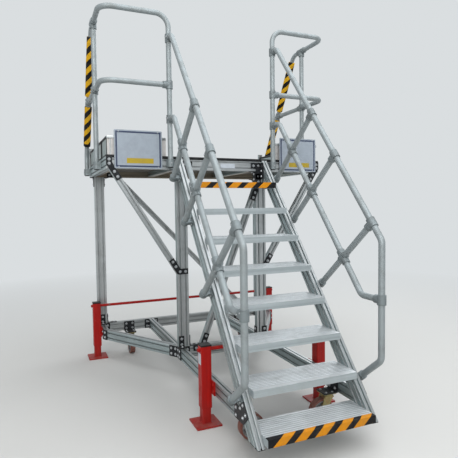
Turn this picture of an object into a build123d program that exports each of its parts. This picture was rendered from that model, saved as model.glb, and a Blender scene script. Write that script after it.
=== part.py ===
from build123d import *
import math
import os

# Access stand for an aircraft cargo door: a stair, a raised deck with guard rails, a framework of
# slotted aluminium profile on four swivel castors, and four telescopic jacks.
# Millimetres. +X is to the right of a person climbing the stair, +Y is the way the stair climbs,
# towards the aircraft, and +Z is up. The floor is Z = 0.

# Slotted profile
PROFILE = 45.0
PROFILE_TALL = 90.0
SLOT_MOUTH = 10.0
SLOT_LIP = 4.5
SLOT_CHAMBER = 20.0
SLOT_DEPTH = 14.0

# Stair
RISER = 200.0
GOING = 167.0
TREAD_COUNT = 8
FIRST_TREAD_TOP = 200.0
TREAD_LENGTH = 700.0
TREAD_DEPTH = 235.0
TREAD_NOSE = 42.0
TREAD_NOSE_LIP = 28.0
TREAD_PLATE = 5.0
TREAD_REAR = 30.0
TREAD_RIB_PITCH = 20.0
TREAD_RIB_WIDTH = 8.0
TREAD_RIB_HEIGHT = 2.0
TREAD_RIB_ROOT = 1.0
TREAD_END_PLATE = 3.0
STRINGER_SETBACK = 77.0
STRINGER_BOTTOM = 140.0
HAZARD_THICKNESS = 3.0
HAZARD_TOP_WIDTH = 30.0

# Base frame and legs
BASE_BOTTOM = 200.0
FRONT_PLANE = 1440.0
FRAME_DEPTH = 1095.0
REAR_LEG_INSET = 80.0
DIAGONAL_RAIL_SETBACK = 75.0
SIDE_RAIL_LENGTH = 225.0

# Deck
DECK_HALF_WIDTH = 930.0
PLANK_COUNT = 6
PLANK_HEIGHT = 35.0
PLANK_PLATE = 5.0
PLANK_WEB = 4.0
PLANK_GAP = 2.0
EDGE_STRIP = 3.0
BUFFER = 20.0
KICK_HEIGHT = 150.0
KICK_THICKNESS = 18.0
KICK_GAP = 30.0
END_POST_HEIGHT = 275.0

# Braces
WING_BRACE_DROP = 790.0
WING_BRACE_TOP_INSET = 45.0
FRONT_BRACE_RISE = 1265.0
FRONT_BRACE_FOOT_X = -190.0
REAR_BRACE_TOP_X = -678.0

# Tubes of the guard rails and handrails
TUBE_RADIUS = 20.0
TUBE_BEND = 100.0
GUARD_HEIGHT = 1100.0
MID_HEIGHT = 550.0
RAIL_STANDOFF = 53.0
POST_STANDOFF = 45.0
SIDE_POST_SETBACK = 315.0
SIDE_POST_STANDOFF = 28.0
GUARD_POST_BELOW = 75.0
PAD_TUBE_LEVEL = 145.0
PAD_TUBE_FOOT_SETBACK = 45.0
PAD_TUBE_FOOT_RISE = 110.0
PAD_RADIUS = 36.0
PAD_BREAK_ABOVE = 58.0
PAD_BREAK_BELOW = 32.0
HANDRAIL_RISE = 925.0
HANDRAIL_MID_RISE = 355.0
HANDRAIL_TOP_LEVEL = 900.0
HANDRAIL_MID_LEVEL = 290.0
HANDRAIL_DROP_Y = 65.0
HANDRAIL_FOOT_Z = 486.0
HANDRAIL_MID_FOOT_Z = 850.0
HANDRAIL_BEND = 60.0
STRUT_YS = (150.0, 525.0, 800.0)

# Clamps and plates
CLAMP_RADIUS = 27.0
CLAMP_LENGTH = 60.0
SOCKET = 50.0
PALM_THICKNESS = 8.0
PALM_LENGTH = 54.0
PALM_ARM = 30.0
GUSSET = 6.0
BRACKET_LEG = 90.0
STRAP_REACH = 95.0
BRACE_PLATE_RISE = 75.0
STRINGER_PLATE_DEPTH = 60.0
FOOT_PLATE_START = 88.0
FOOT_PLATE_END = 183.0
FOOT_PLATE_REACH = 125.0
FOOT_PLATE_MARGIN = 5.0

# Jacks
JACK_TUBE = 70.0
JACK_WALL = 5.0
JACK_CORNER = 6.0
JACK_LEG_CORNER = 5.0
JACK_TOP = 515.0
JACK_TUBE_BOTTOM = 110.0
JACK_CAP = 10.0
JACK_CAP_LIP = 1.0
JACK_LEG_CLEARANCE = 0.5
JACK_LEG_WALL = 4.0
JACK_LEG_TOP = 350.0
JACK_FOOT = 170.0
JACK_FOOT_THICKNESS = 10.0
JACK_BRACKET = 8.0
JACK_BRACKET_REACH = 75.0
FRONT_JACK_Y = 710.0
REAR_JACK_SETBACK = 90.0
SHAFT_RADIUS = 12.5
SHAFT_WALL = 3.5
SHAFT_STUB = 15.0
SHAFT_Z = 490.0

# Castors
CASTOR_HEIGHT = 195.0
WHEEL_RADIUS = 80.0
WHEEL_WIDTH = 45.0
TYRE_THICKNESS = 12.0
RIM_THICKNESS = 10.0
RIM_INSET = 2.0
SPOKE_SINK = 4.0
HUB_RADIUS = 19.0
SPOKE_COUNT = 5
SPOKE_WIDTH = 13.0
SPOKE_DEPTH = 27.0
AXLE_RADIUS = 6.0
RUNNING_CLEARANCE = 0.05
FACE_CLEARANCE = 0.4
TRAIL = 45.0
FORK_PLATE = 4.0
FORK_GAP = 5.0
SWIVEL_RADIUS = 36.0
SWIVEL_HEIGHT = 14.0
KINGPIN_RADIUS = 8.0
CASTOR_PLATE = 6.0
CASTOR_PLATE_SIZE = 100.0
CASTOR_BRACKET = 8.0
FRONT_CASTOR_Y = 410.0
REAR_CASTOR_X = 595.0

# How far a cutting shape runs past what it cuts
CUT_PAST = 1.0
FAR = 4000.0

# Worked out from the sizes above
SIDES = (("left", -1), ("right", 1))
UP = (0, 0, 1)
DOWN = (0, 0, -1)
FORWARD = (0, -1, 0)
BACK = (0, 1, 0)
DECK_TOP = FIRST_TREAD_TOP + TREAD_COUNT * RISER
BASE_TOP = BASE_BOTTOM + PROFILE_TALL
BEAM_BOTTOM = DECK_TOP - PROFILE_TALL
STAIR_INNER = TREAD_LENGTH / 2
STAIR_OUTER = STAIR_INNER + PROFILE
LEG_X = STAIR_OUTER - PROFILE_TALL / 2
REAR_PLANE = FRONT_PLANE + FRAME_DEPTH
REAR_FACE = REAR_PLANE - PROFILE
RAIL_Z = BASE_BOTTOM + PROFILE_TALL / 2
REAR_LEG_X = DECK_HALF_WIDTH - REAR_LEG_INSET
PAD_TUBE_FOOT_Y = REAR_PLANE - PAD_TUBE_FOOT_SETBACK
SLOPE = math.atan2(RISER, GOING)
UP_SLOPE = Vector(0, math.cos(SLOPE), math.sin(SLOPE))
INTO_SLOPE = Vector(0, math.sin(SLOPE), -math.cos(SLOPE))
RAIL_X = STAIR_OUTER + RAIL_STANDOFF
GUARD_X = DECK_HALF_WIDTH + SIDE_POST_STANDOFF
POST_Y = FRONT_PLANE - POST_STANDOFF
SIDE_POST_Y = FRONT_PLANE + SIDE_POST_SETBACK
DIAGONAL_RAIL_FRONT_Y = FRONT_PLANE + DIAGONAL_RAIL_SETBACK
SIDE_RAIL_FRONT_Y = REAR_FACE - SIDE_RAIL_LENGTH
REAR_JACK_Y = REAR_FACE - REAR_JACK_SETBACK
TOP_RAIL_Z = DECK_TOP + GUARD_HEIGHT - TUBE_RADIUS
MID_RAIL_Z = DECK_TOP + MID_HEIGHT
# Y of the first nosing, so that the origin is below the middle of the whole stand
STAIR_START = (HAZARD_THICKNESS - REAR_PLANE - BUFFER) / 2

os.makedirs("parts", exist_ok=True)


def at_y(distance):
    """Y of a point that lies this far behind the first nosing."""
    return STAIR_START + distance


def save(name, *solids):
    """Write one node from its solids."""
    shapes = []
    for solid in solids:
        shapes.extend(solid.solids())
    export_step(shapes[0] if len(shapes) == 1 else Compound(children=shapes), f"parts/{name}.step")


def box_between(x0, x1, y0, y1, z0, z1):
    """Box between two corners, given in any order."""
    centre = ((x0 + x1) / 2, (y0 + y1) / 2, (z0 + z1) / 2)
    return Pos(*centre) * Box(abs(x1 - x0), abs(y1 - y0), abs(z1 - z0))


# Slotted profile section

def slot_cutter():
    """T-shaped slot that opens towards +X from a face on the Y axis."""
    mouth = SLOT_MOUTH / 2
    chamber = SLOT_CHAMBER / 2
    return Polygon(
        (0, -mouth), (0, mouth), (-SLOT_LIP, mouth), (-SLOT_LIP, chamber),
        (-SLOT_DEPTH, mouth), (-SLOT_DEPTH, -mouth), (-SLOT_LIP, -chamber), (-SLOT_LIP, -mouth),
        align=None,
    )


def profile_section(tall):
    """Section one module wide along X and one or two modules tall along Y, slotted on every module."""
    section = Rectangle(PROFILE, tall)
    modules = round(tall / PROFILE)
    for index in range(modules):
        y = (index - (modules - 1) / 2) * PROFILE
        for angle in (0, 180):
            section -= Pos(0, y) * Rot(0, 0, angle) * Pos(PROFILE / 2, 0) * slot_cutter()
    for angle in (90, 270):
        section -= Rot(0, 0, angle) * Pos(tall / 2, 0) * slot_cutter()
    return section


SECTION_45 = profile_section(PROFILE)
SECTION_90 = profile_section(PROFILE_TALL)


def beam(start, end, narrow, section=SECTION_90):
    """Profile from start to end, whose narrow side faces the given direction."""
    start = Vector(*start)
    along = Vector(*end) - start
    plane = Plane(origin=start, x_dir=Vector(*narrow), z_dir=along)
    return extrude(plane * section, amount=along.length)


# Base frame

def stringer_rear_y(z):
    """Y of the stringer's rear face at a height, measured behind the first nosing."""
    front = STRINGER_SETBACK + (z - FIRST_TREAD_TOP) / math.tan(SLOPE)
    return front + PROFILE_TALL / math.sin(SLOPE)


def stringer_body(side):
    """One sloping stringer before the base rail is fitted to it."""
    x = side * (STAIR_INNER + PROFILE / 2)
    middle = Vector(x, at_y(STRINGER_SETBACK), FIRST_TREAD_TOP) + INTO_SLOPE * (PROFILE_TALL / 2)
    reach = (DECK_TOP + PROFILE_TALL) / math.sin(SLOPE)
    body = beam(middle - UP_SLOPE * (PROFILE_TALL * 2), middle + UP_SLOPE * reach, (1, 0, 0))
    body -= box_between(-FAR, FAR, -FAR, FAR, -FAR, STRINGER_BOTTOM)
    body -= box_between(-FAR, FAR, -FAR, FAR, DECK_TOP - EDGE_STRIP, FAR)
    return body - box_between(-FAR, FAR, at_y(FRONT_PLANE), FAR, -FAR, FAR)


def diagonal_rail_line(side):
    """Front and rear end of a diagonal rail's middle line."""
    front = Vector(side * STAIR_OUTER, at_y(DIAGONAL_RAIL_FRONT_Y), RAIL_Z)
    rear = Vector(side * REAR_LEG_X, at_y(SIDE_RAIL_FRONT_Y), RAIL_Z)
    return front, rear


def beyond(point, direction):
    """Everything past a plane through a point, square to a direction."""
    return Plane(origin=point, z_dir=direction) * Pos(0, 0, FAR / 2) * Box(FAR, FAR, FAR)


def make_base():
    for name, side in SIDES:
        x = side * (STAIR_OUTER - PROFILE / 2)
        rail = beam((x, at_y(0), RAIL_Z), (x, at_y(REAR_FACE), RAIL_Z), (1, 0, 0))
        upper = at_y(stringer_rear_y(BASE_TOP))
        lower = at_y(stringer_rear_y(BASE_BOTTOM))
        mitre = Polygon(
            (at_y(-PROFILE_TALL), BASE_BOTTOM - CUT_PAST), (lower, BASE_BOTTOM), (upper, BASE_TOP),
            (at_y(-PROFILE_TALL), BASE_TOP + CUT_PAST), align=None,
        )
        cutter = extrude(Plane.YZ.offset(x - PROFILE) * mitre, amount=2 * PROFILE)
        save(f"base_rail_{name}", rail - cutter)

    rear_y = at_y(REAR_PLANE - PROFILE / 2)
    reach = REAR_LEG_X + PROFILE_TALL / 2
    save("base_rail_rear", beam((-reach, rear_y, RAIL_Z), (reach, rear_y, RAIL_Z), (0, 1, 0)))

    cross_y = at_y(FRONT_PLANE + PROFILE / 2)
    save("base_rail_cross", beam((-STAIR_INNER, cross_y, RAIL_Z), (STAIR_INNER, cross_y, RAIL_Z), (0, 1, 0)))

    diagonals = []
    side_rails = []
    for _, side in SIDES:
        front, knee = diagonal_rail_line(side)
        along = (knee - front).normalized()
        mitre = along + Vector(*BACK)
        rail = beam(front - along * PROFILE_TALL, knee + along * PROFILE_TALL, (along.Y, -along.X, 0))
        rail -= box_between(-STAIR_OUTER, STAIR_OUTER, -FAR, FAR, 0, FAR)
        diagonals.append(rail - beyond(knee, mitre))
        rear = Vector(knee.X, at_y(REAR_FACE), RAIL_Z)
        rail = beam(knee - Vector(*BACK) * PROFILE_TALL, rear, (1, 0, 0))
        side_rails.append(rail - beyond(knee, -mitre))
    save("base_diagonals", *diagonals)
    save("base_side_rails", *side_rails)


def make_legs():
    for name, x_middle, y in (("front", LEG_X, FRONT_PLANE + PROFILE / 2),
                              ("rear", REAR_LEG_X, REAR_PLANE - PROFILE / 2)):
        legs = []
        for _, side in SIDES:
            x = side * x_middle
            legs.append(beam((x, at_y(y), BASE_TOP), (x, at_y(y), BEAM_BOTTOM), (0, 1, 0)))
        save(f"legs_{name}", *legs)


def wing_brace_line(side):
    """Top and foot of the brace under one wing of the deck."""
    y = at_y(FRONT_PLANE + PROFILE / 2)
    top = Vector(side * (DECK_HALF_WIDTH - WING_BRACE_TOP_INSET), y, BEAM_BOTTOM)
    foot = Vector(side * STAIR_OUTER, y, BEAM_BOTTOM - WING_BRACE_DROP)
    return top, foot


def front_brace_line():
    """Foot and top of the brace between the front legs."""
    y = at_y(FRONT_PLANE + PROFILE / 2)
    foot = Vector(FRONT_BRACE_FOOT_X, y, BASE_TOP)
    top = Vector(LEG_X - PROFILE_TALL / 2, y, BASE_TOP + FRONT_BRACE_RISE)
    return foot, top


def rear_brace_line():
    """Foot and top of the brace between the rear legs."""
    y = at_y(REAR_PLANE - PROFILE / 2)
    return Vector(-REAR_BRACE_TOP_X, y, BASE_TOP), Vector(REAR_BRACE_TOP_X, y, BEAM_BOTTOM)


def make_braces():
    wings = []
    for _, side in SIDES:
        top, foot = wing_brace_line(side)
        along = (top - foot).normalized()
        brace = beam(foot - along * PROFILE_TALL, top + along * PROFILE_TALL, (0, 1, 0), SECTION_45)
        brace -= box_between(-STAIR_OUTER, STAIR_OUTER, -FAR, FAR, 0, FAR)
        wings.append(brace - box_between(-FAR, FAR, -FAR, FAR, BEAM_BOTTOM, FAR))
    save("wing_braces", *wings)

    foot, top = front_brace_line()
    along = (top - foot).normalized()
    front = beam(foot - along * PROFILE_TALL, top + along * PROFILE_TALL, (0, 1, 0), SECTION_45)
    front -= box_between(top.X, FAR, -FAR, FAR, 0, FAR)
    front -= box_between(-FAR, FAR, -FAR, FAR, 0, BASE_TOP)

    foot, top = rear_brace_line()
    along = (top - foot).normalized()
    rear = beam(foot - along * PROFILE_TALL, top + along * PROFILE_TALL, (0, 1, 0), SECTION_45)
    rear -= box_between(-FAR, FAR, -FAR, FAR, 0, BASE_TOP)
    rear -= box_between(-FAR, FAR, -FAR, FAR, BEAM_BOTTOM, FAR)
    save("diagonal_braces", front, rear)


# Deck

def plank_section(depth):
    """Closed-top plank with webs below, one plank deep along X and hanging down from Y = 0."""
    section = Pos(0, -PLANK_PLATE / 2) * Rectangle(depth, PLANK_PLATE)
    for share in (-0.5, -0.25, 0.0, 0.25, 0.5):
        x = share * (depth - PLANK_WEB)
        section += Pos(x, -PLANK_HEIGHT / 2) * Rectangle(PLANK_WEB, PLANK_HEIGHT)
    return section


def make_deck():
    z = BEAM_BOTTOM + PROFILE_TALL / 2
    front_y = at_y(FRONT_PLANE + PROFILE / 2)
    rear_y = at_y(REAR_PLANE - PROFILE / 2)
    inner_half = DECK_HALF_WIDTH - PROFILE
    for name, y in (("front", front_y), ("rear", rear_y)):
        save(f"deck_beam_{name}", beam((-inner_half, y, z), (inner_half, y, z), (0, 1, 0)))

    inner_front = at_y(FRONT_PLANE + PROFILE)
    inner_rear = at_y(REAR_FACE)
    side_beams = []
    joists = []
    joist_z = DECK_TOP - PLANK_HEIGHT - PROFILE / 2
    for _, side in SIDES:
        x = side * (DECK_HALF_WIDTH - PROFILE / 2)
        side_beams.append(beam((x, at_y(FRONT_PLANE), z), (x, at_y(REAR_PLANE), z), (1, 0, 0)))
        for joist_x in (LEG_X, inner_half - PROFILE / 2):
            start = (side * joist_x, inner_front, joist_z)
            joists.append(beam(start, (side * joist_x, inner_rear, joist_z), (1, 0, 0), SECTION_45))
    save("deck_beams_side", *side_beams)
    save("deck_joists", *joists)

    pitch = (inner_rear - inner_front) / PLANK_COUNT
    section = plank_section(pitch - PLANK_GAP)
    planks = []
    for index in range(PLANK_COUNT):
        y = inner_front + (index + 0.5) * pitch
        plane = Plane(origin=(-inner_half, y, DECK_TOP), x_dir=(0, 1, 0), z_dir=(1, 0, 0))
        planks.append(extrude(plane * section, amount=2 * inner_half))
    save("deck_planks", *planks)

    top = DECK_TOP + EDGE_STRIP
    front_face = at_y(FRONT_PLANE)
    strips = [box_between(-DECK_HALF_WIDTH, DECK_HALF_WIDTH, front_face, inner_front, DECK_TOP, top)]
    for _, side in SIDES:
        outer = side * DECK_HALF_WIDTH
        strips.append(box_between(outer - side * PROFILE, outer, inner_front, at_y(REAR_PLANE), DECK_TOP, top))
    save("edge_strips", *strips)

    save("rear_buffer", box_between(-inner_half, inner_half, at_y(REAR_PLANE),
                                    at_y(REAR_PLANE + BUFFER), BEAM_BOTTOM, DECK_TOP))


def make_kick_boards():
    bottom = DECK_TOP + EDGE_STRIP
    top = bottom + KICK_HEIGHT
    middle_y = at_y(FRONT_PLANE + PROFILE / 2)
    boards = []
    posts = []
    for _, side in SIDES:
        x = side * (DECK_HALF_WIDTH - PROFILE / 2)
        boards.append(box_between(side * (RAIL_X + TUBE_RADIUS), x - side * KICK_THICKNESS,
                                  middle_y - KICK_THICKNESS / 2, middle_y + KICK_THICKNESS / 2, bottom, top))
        for start, end in ((middle_y, at_y(SIDE_POST_Y) - KICK_GAP / 2),
                           (at_y(SIDE_POST_Y) + KICK_GAP / 2, at_y(REAR_PLANE))):
            boards.append(box_between(x - KICK_THICKNESS / 2, x + KICK_THICKNESS / 2, start, end, bottom, top))
        posts.append(box_between(side * (DECK_HALF_WIDTH - PROFILE), side * DECK_HALF_WIDTH, at_y(REAR_PLANE),
                                 at_y(REAR_PLANE + BUFFER), BEAM_BOTTOM, BEAM_BOTTOM + END_POST_HEIGHT))
    save("kick_boards", *boards)
    save("end_posts", *posts)


# Stair

def tread_section():
    """Ribbed tread, its nosing at X = 0 and its upper face at Y = 0, running back along X."""
    section = Pos(TREAD_DEPTH / 2, -TREAD_PLATE / 2) * Rectangle(TREAD_DEPTH, TREAD_PLATE)
    section += Pos(TREAD_PLATE / 2, -TREAD_NOSE / 2) * Rectangle(TREAD_PLATE, TREAD_NOSE)
    section += Pos(TREAD_DEPTH - TREAD_PLATE / 2, -TREAD_REAR / 2) * Rectangle(TREAD_PLATE, TREAD_REAR)
    section += Pos(TREAD_DEPTH / 2, -TREAD_REAR / 2) * Rectangle(TREAD_PLATE, TREAD_REAR)
    section += Pos(TREAD_NOSE_LIP / 2, -TREAD_NOSE + TREAD_PLATE / 2) * Rectangle(TREAD_NOSE_LIP, TREAD_PLATE)
    return section


def tread_ribs():
    """Ribs of the walking face, from behind the hazard strip to the rear edge."""
    count = int((TREAD_DEPTH - HAZARD_TOP_WIDTH - TREAD_RIB_WIDTH) / TREAD_RIB_PITCH)
    return [HAZARD_TOP_WIDTH + TREAD_RIB_WIDTH + index * TREAD_RIB_PITCH for index in range(count + 1)]


def make_stair():
    for name, side in SIDES:
        save(f"stringer_{name}", stringer_body(side))

    section = tread_section()
    rib = Rectangle(TREAD_RIB_WIDTH, TREAD_RIB_HEIGHT + TREAD_RIB_ROOT)
    for x in tread_ribs():
        section += Pos(x, (TREAD_RIB_HEIGHT - TREAD_RIB_ROOT) / 2) * rib
    treads = []
    for index in range(TREAD_COUNT):
        y = at_y(index * GOING)
        z = FIRST_TREAD_TOP + index * RISER - TREAD_RIB_HEIGHT
        plane = Plane(origin=(-STAIR_INNER, y, z), x_dir=(0, 1, 0), z_dir=(1, 0, 0))
        tread = extrude(plane * section, amount=TREAD_LENGTH)
        for _, side in SIDES:
            edge = side * STAIR_INNER
            tread += box_between(edge - side * TREAD_END_PLATE, edge, y, y + TREAD_DEPTH, z - TREAD_NOSE, z)
        treads.append(tread)
    save("treads", *treads)

    strips = []
    for index in (0, TREAD_COUNT - 1):
        y = at_y(index * GOING)
        z = FIRST_TREAD_TOP + index * RISER - TREAD_RIB_HEIGHT
        front = y - HAZARD_THICKNESS
        top = z + HAZARD_THICKNESS
        strip = box_between(-STAIR_INNER, STAIR_INNER, front, y, z - TREAD_NOSE, top)
        strips.append(strip + box_between(-STAIR_INNER, STAIR_INNER, front, y + HAZARD_TOP_WIDTH, z, top))
    save("hazard_nosings", *strips)


# Tubes

def tube(points, radius=TUBE_RADIUS, bend=TUBE_BEND):
    """Round tube along straight runs joined by bends."""
    corners = [Vector(*point) for point in points]
    path = Line(*corners) if len(corners) == 2 else FilletPolyline(*corners, radius=bend)
    start = Plane(origin=path @ 0, z_dir=path % 0)
    return sweep(start * Circle(radius), path=path)


def rod(centre, direction, radius, start, end):
    """Solid rod along a direction, from start to end measured from the centre."""
    direction = Vector(*direction).normalized()
    plane = Plane(origin=Vector(*centre) + direction * start, z_dir=direction)
    return extrude(plane * Circle(radius), amount=end - start)


def socket_floor(through, branch):
    """How far from a fitting's middle a branch's tube ends, clear of the tube that passes through."""
    cosine = abs(Vector(*through).normalized().dot(Vector(*branch).normalized()))
    return (CLAMP_RADIUS + TUBE_RADIUS * cosine) / math.sqrt(1 - cosine ** 2)


def slope_z(distance, rise):
    """Height of a line parallel to the nosings, this far above them, at a distance behind the first."""
    return FIRST_TREAD_TOP + rise + distance * RISER / GOING


def slope_distance(z, rise):
    """Distance behind the first nosing at which that line reaches a height."""
    return (z - FIRST_TREAD_TOP - rise) * GOING / RISER


def stringer_foot(distance, z):
    """Point on the stringer's middle line square below a point beside it, and the length to it."""
    front = FIRST_TREAD_TOP + (distance - STRINGER_SETBACK) * math.tan(SLOPE)
    length = (z - front) * math.cos(SLOPE) + PROFILE_TALL / 2
    return distance + length * math.sin(SLOPE), z - length * math.cos(SLOPE)


def pad_tube_points(side):
    """Corners of the slanting tube that carries the foam pads."""
    x = side * GUARD_X
    foot_y = at_y(PAD_TUBE_FOOT_Y)
    return [
        (x, at_y(SIDE_POST_Y) + CLAMP_RADIUS, TOP_RAIL_Z),
        (x, at_y(SIDE_POST_Y) + PAD_TUBE_LEVEL, TOP_RAIL_Z),
        (x, foot_y, DECK_TOP + PAD_TUBE_FOOT_RISE),
        (x, foot_y, DECK_TOP - GUARD_POST_BELOW),
    ]


def pad_tube_direction():
    """Direction of the slanting run, which is the same on both sides."""
    _, upper, lower, _ = [Vector(*point) for point in pad_tube_points(1)]
    return (lower - upper).normalized()


def pad_tube_y(z):
    """Y of the slanting tube's middle line at a height."""
    _, upper, lower, _ = pad_tube_points(1)
    share = (upper[2] - z) / (upper[2] - lower[2])
    return upper[1] + share * (lower[1] - upper[1])


def make_guards():
    posts = []
    pad_tubes = []
    pads = []
    for name, side in SIDES:
        inner = side * RAIL_X
        outer = side * GUARD_X
        front = at_y(POST_Y)
        post_y = at_y(SIDE_POST_Y)
        save(f"guard_rail_{name}", tube([
            (inner, front, DECK_TOP - GUARD_POST_BELOW), (inner, front, TOP_RAIL_Z),
            (outer, front, TOP_RAIL_Z), (outer, post_y - CLAMP_RADIUS, TOP_RAIL_Z),
        ]))
        mid_front = tube([
            (inner + side * CLAMP_RADIUS, front, MID_RAIL_Z), (outer, front, MID_RAIL_Z),
            (outer, post_y - CLAMP_RADIUS, MID_RAIL_Z),
        ])
        mid_end = pad_tube_y(MID_RAIL_Z) - socket_floor(pad_tube_direction(), (0, 1, 0))
        mid_rear = tube([(outer, post_y + CLAMP_RADIUS, MID_RAIL_Z), (outer, mid_end, MID_RAIL_Z)])
        save(f"guard_mid_{name}", mid_front, mid_rear)
        post_foot_z = DECK_TOP - GUARD_POST_BELOW
        posts.append(tube([(outer, post_y, post_foot_z), (outer, post_y, TOP_RAIL_Z - CLAMP_RADIUS)]))
        pad_tubes.append(tube(pad_tube_points(side)))
        pads.extend(foam_pads(side))
    save("guard_posts", *posts)
    save("pad_tubes", *pad_tubes)
    save("foam_pads", *pads)


def foam_pads(side):
    """Two foam sleeves on the straight run of the slanting tube, with a break at the mid rail."""
    _, upper, lower, _ = [Vector(*point) for point in pad_tube_points(side)]
    along = pad_tube_direction()
    run = (lower - upper).length
    middle = run * (TOP_RAIL_Z - MID_RAIL_Z) / (upper.Z - lower.Z)
    sleeves = []
    for start, end in ((TUBE_BEND, middle - PAD_BREAK_ABOVE), (middle + PAD_BREAK_BELOW, run - TUBE_BEND / 2)):
        plane = Plane(origin=upper + along * start, z_dir=along)
        ring = Circle(PAD_RADIUS) - Circle(TUBE_RADIUS)
        sleeves.append(extrude(plane * ring, amount=end - start))
    return sleeves


def strut_line(side, distance):
    """Top, foot and mid-rail crossing of a strut that hangs square from the handrail at a distance."""
    x = side * RAIL_X
    z = slope_z(distance, HANDRAIL_RISE)
    foot_y, foot_z = stringer_foot(distance, z)
    top = Vector(x, at_y(distance), z)
    foot = Vector(x, at_y(foot_y), foot_z)
    crossing = top + (foot - top).normalized() * (HANDRAIL_RISE - HANDRAIL_MID_RISE) * math.cos(SLOPE)
    return top, foot, crossing


def make_handrails():
    struts = []
    for name, side in SIDES:
        x = side * RAIL_X
        start_y = at_y(POST_Y) - CLAMP_RADIUS
        top_z = DECK_TOP + HANDRAIL_TOP_LEVEL
        mid_z = DECK_TOP + HANDRAIL_MID_LEVEL
        drop_y = at_y(HANDRAIL_DROP_Y)
        foot_y, foot_z = stringer_foot(HANDRAIL_DROP_Y, HANDRAIL_FOOT_Z)
        save(f"handrail_{name}", tube([
            (x, start_y, top_z), (x, at_y(slope_distance(top_z, HANDRAIL_RISE)), top_z),
            (x, drop_y, slope_z(HANDRAIL_DROP_Y, HANDRAIL_RISE)),
            (x, drop_y, HANDRAIL_FOOT_Z), (x, at_y(foot_y), foot_z),
        ], bend=HANDRAIL_BEND))
        mid = tube([
            (x, start_y, mid_z), (x, at_y(slope_distance(mid_z, HANDRAIL_MID_RISE)), mid_z),
            (x, at_y(slope_distance(HANDRAIL_MID_FOOT_Z, HANDRAIL_MID_RISE)), HANDRAIL_MID_FOOT_Z),
            (x, drop_y + CLAMP_RADIUS, HANDRAIL_MID_FOOT_Z),
        ], bend=HANDRAIL_BEND)
        for distance in STRUT_YS:
            top, foot, crossing = strut_line(side, distance)
            struts.append(tube([top + (foot - top).normalized() * CLAMP_RADIUS, foot]))
            mid -= rod(crossing, UP_SLOPE, CLAMP_RADIUS, -CLAMP_RADIUS, CLAMP_RADIUS)
        save(f"handrail_mid_{name}", mid)
    save("handrail_struts", *struts)


def fitting(centre, through=None, branches=()):
    """Cast fitting with tubes ending in its branches and, where there is one, a tube passing through."""
    body = []
    bores = []
    if through:
        half = CLAMP_LENGTH / 2
        body.append(rod(centre, through, CLAMP_RADIUS, -half, half))
        bores.append(rod(centre, through, TUBE_RADIUS, -SOCKET, SOCKET))
    for branch in branches:
        floor = socket_floor(through, branch) if through else CLAMP_RADIUS
        mouth = floor + SOCKET - CLAMP_RADIUS
        body.append(rod(centre, branch, CLAMP_RADIUS, 0, mouth))
        bores.append(rod(centre, branch, TUBE_RADIUS, floor, mouth + SOCKET))
    return sum_of(body) - sum_of(bores)


def sum_of(solids):
    """Solids fused into one."""
    total = solids[0]
    for solid in solids[1:]:
        total += solid
    return total


def post_foot(side, x, y, towards):
    """Clamp that holds an upright tube to the deck's edge, which lies this way from the tube."""
    middle_z = (BEAM_BOTTOM + DECK_TOP) / 2
    low = middle_z - CLAMP_LENGTH / 2
    high = middle_z + CLAMP_LENGTH / 2
    if towards == "deck front":
        block = box_between(x - CLAMP_RADIUS, x + CLAMP_RADIUS, y, at_y(FRONT_PLANE), low, high)
    else:
        block = box_between(x, side * DECK_HALF_WIDTH, y - CLAMP_RADIUS, y + CLAMP_RADIUS, low, high)
    centre = (x, y, middle_z)
    return block + rod(centre, UP, CLAMP_RADIUS, low - middle_z, high - middle_z) - rod(
        centre, UP, TUBE_RADIUS, -SOCKET, SOCKET)


def stringer_palm(side, foot):
    """Foot of a strut: a socket on an arm from a flange that is bolted to the stringer's outer face."""
    plane = Plane(origin=foot, x_dir=(1, 0, 0), z_dir=INTO_SLOPE)
    arm = plane * Pos(-side * RAIL_STANDOFF / 2, 0, 0) * Box(RAIL_STANDOFF, PALM_ARM, PALM_ARM)
    flange_x = -side * (RAIL_STANDOFF - PALM_THICKNESS / 2)
    flange = plane * Pos(flange_x, 0, 0) * Box(PALM_THICKNESS, PALM_LENGTH, PROFILE)
    socket = rod(foot, -INTO_SLOPE, CLAMP_RADIUS, -PALM_ARM / 2, SOCKET - CLAMP_RADIUS)
    return arm + flange + socket - rod(foot, -INTO_SLOPE, TUBE_RADIUS, 0, SOCKET)


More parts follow.
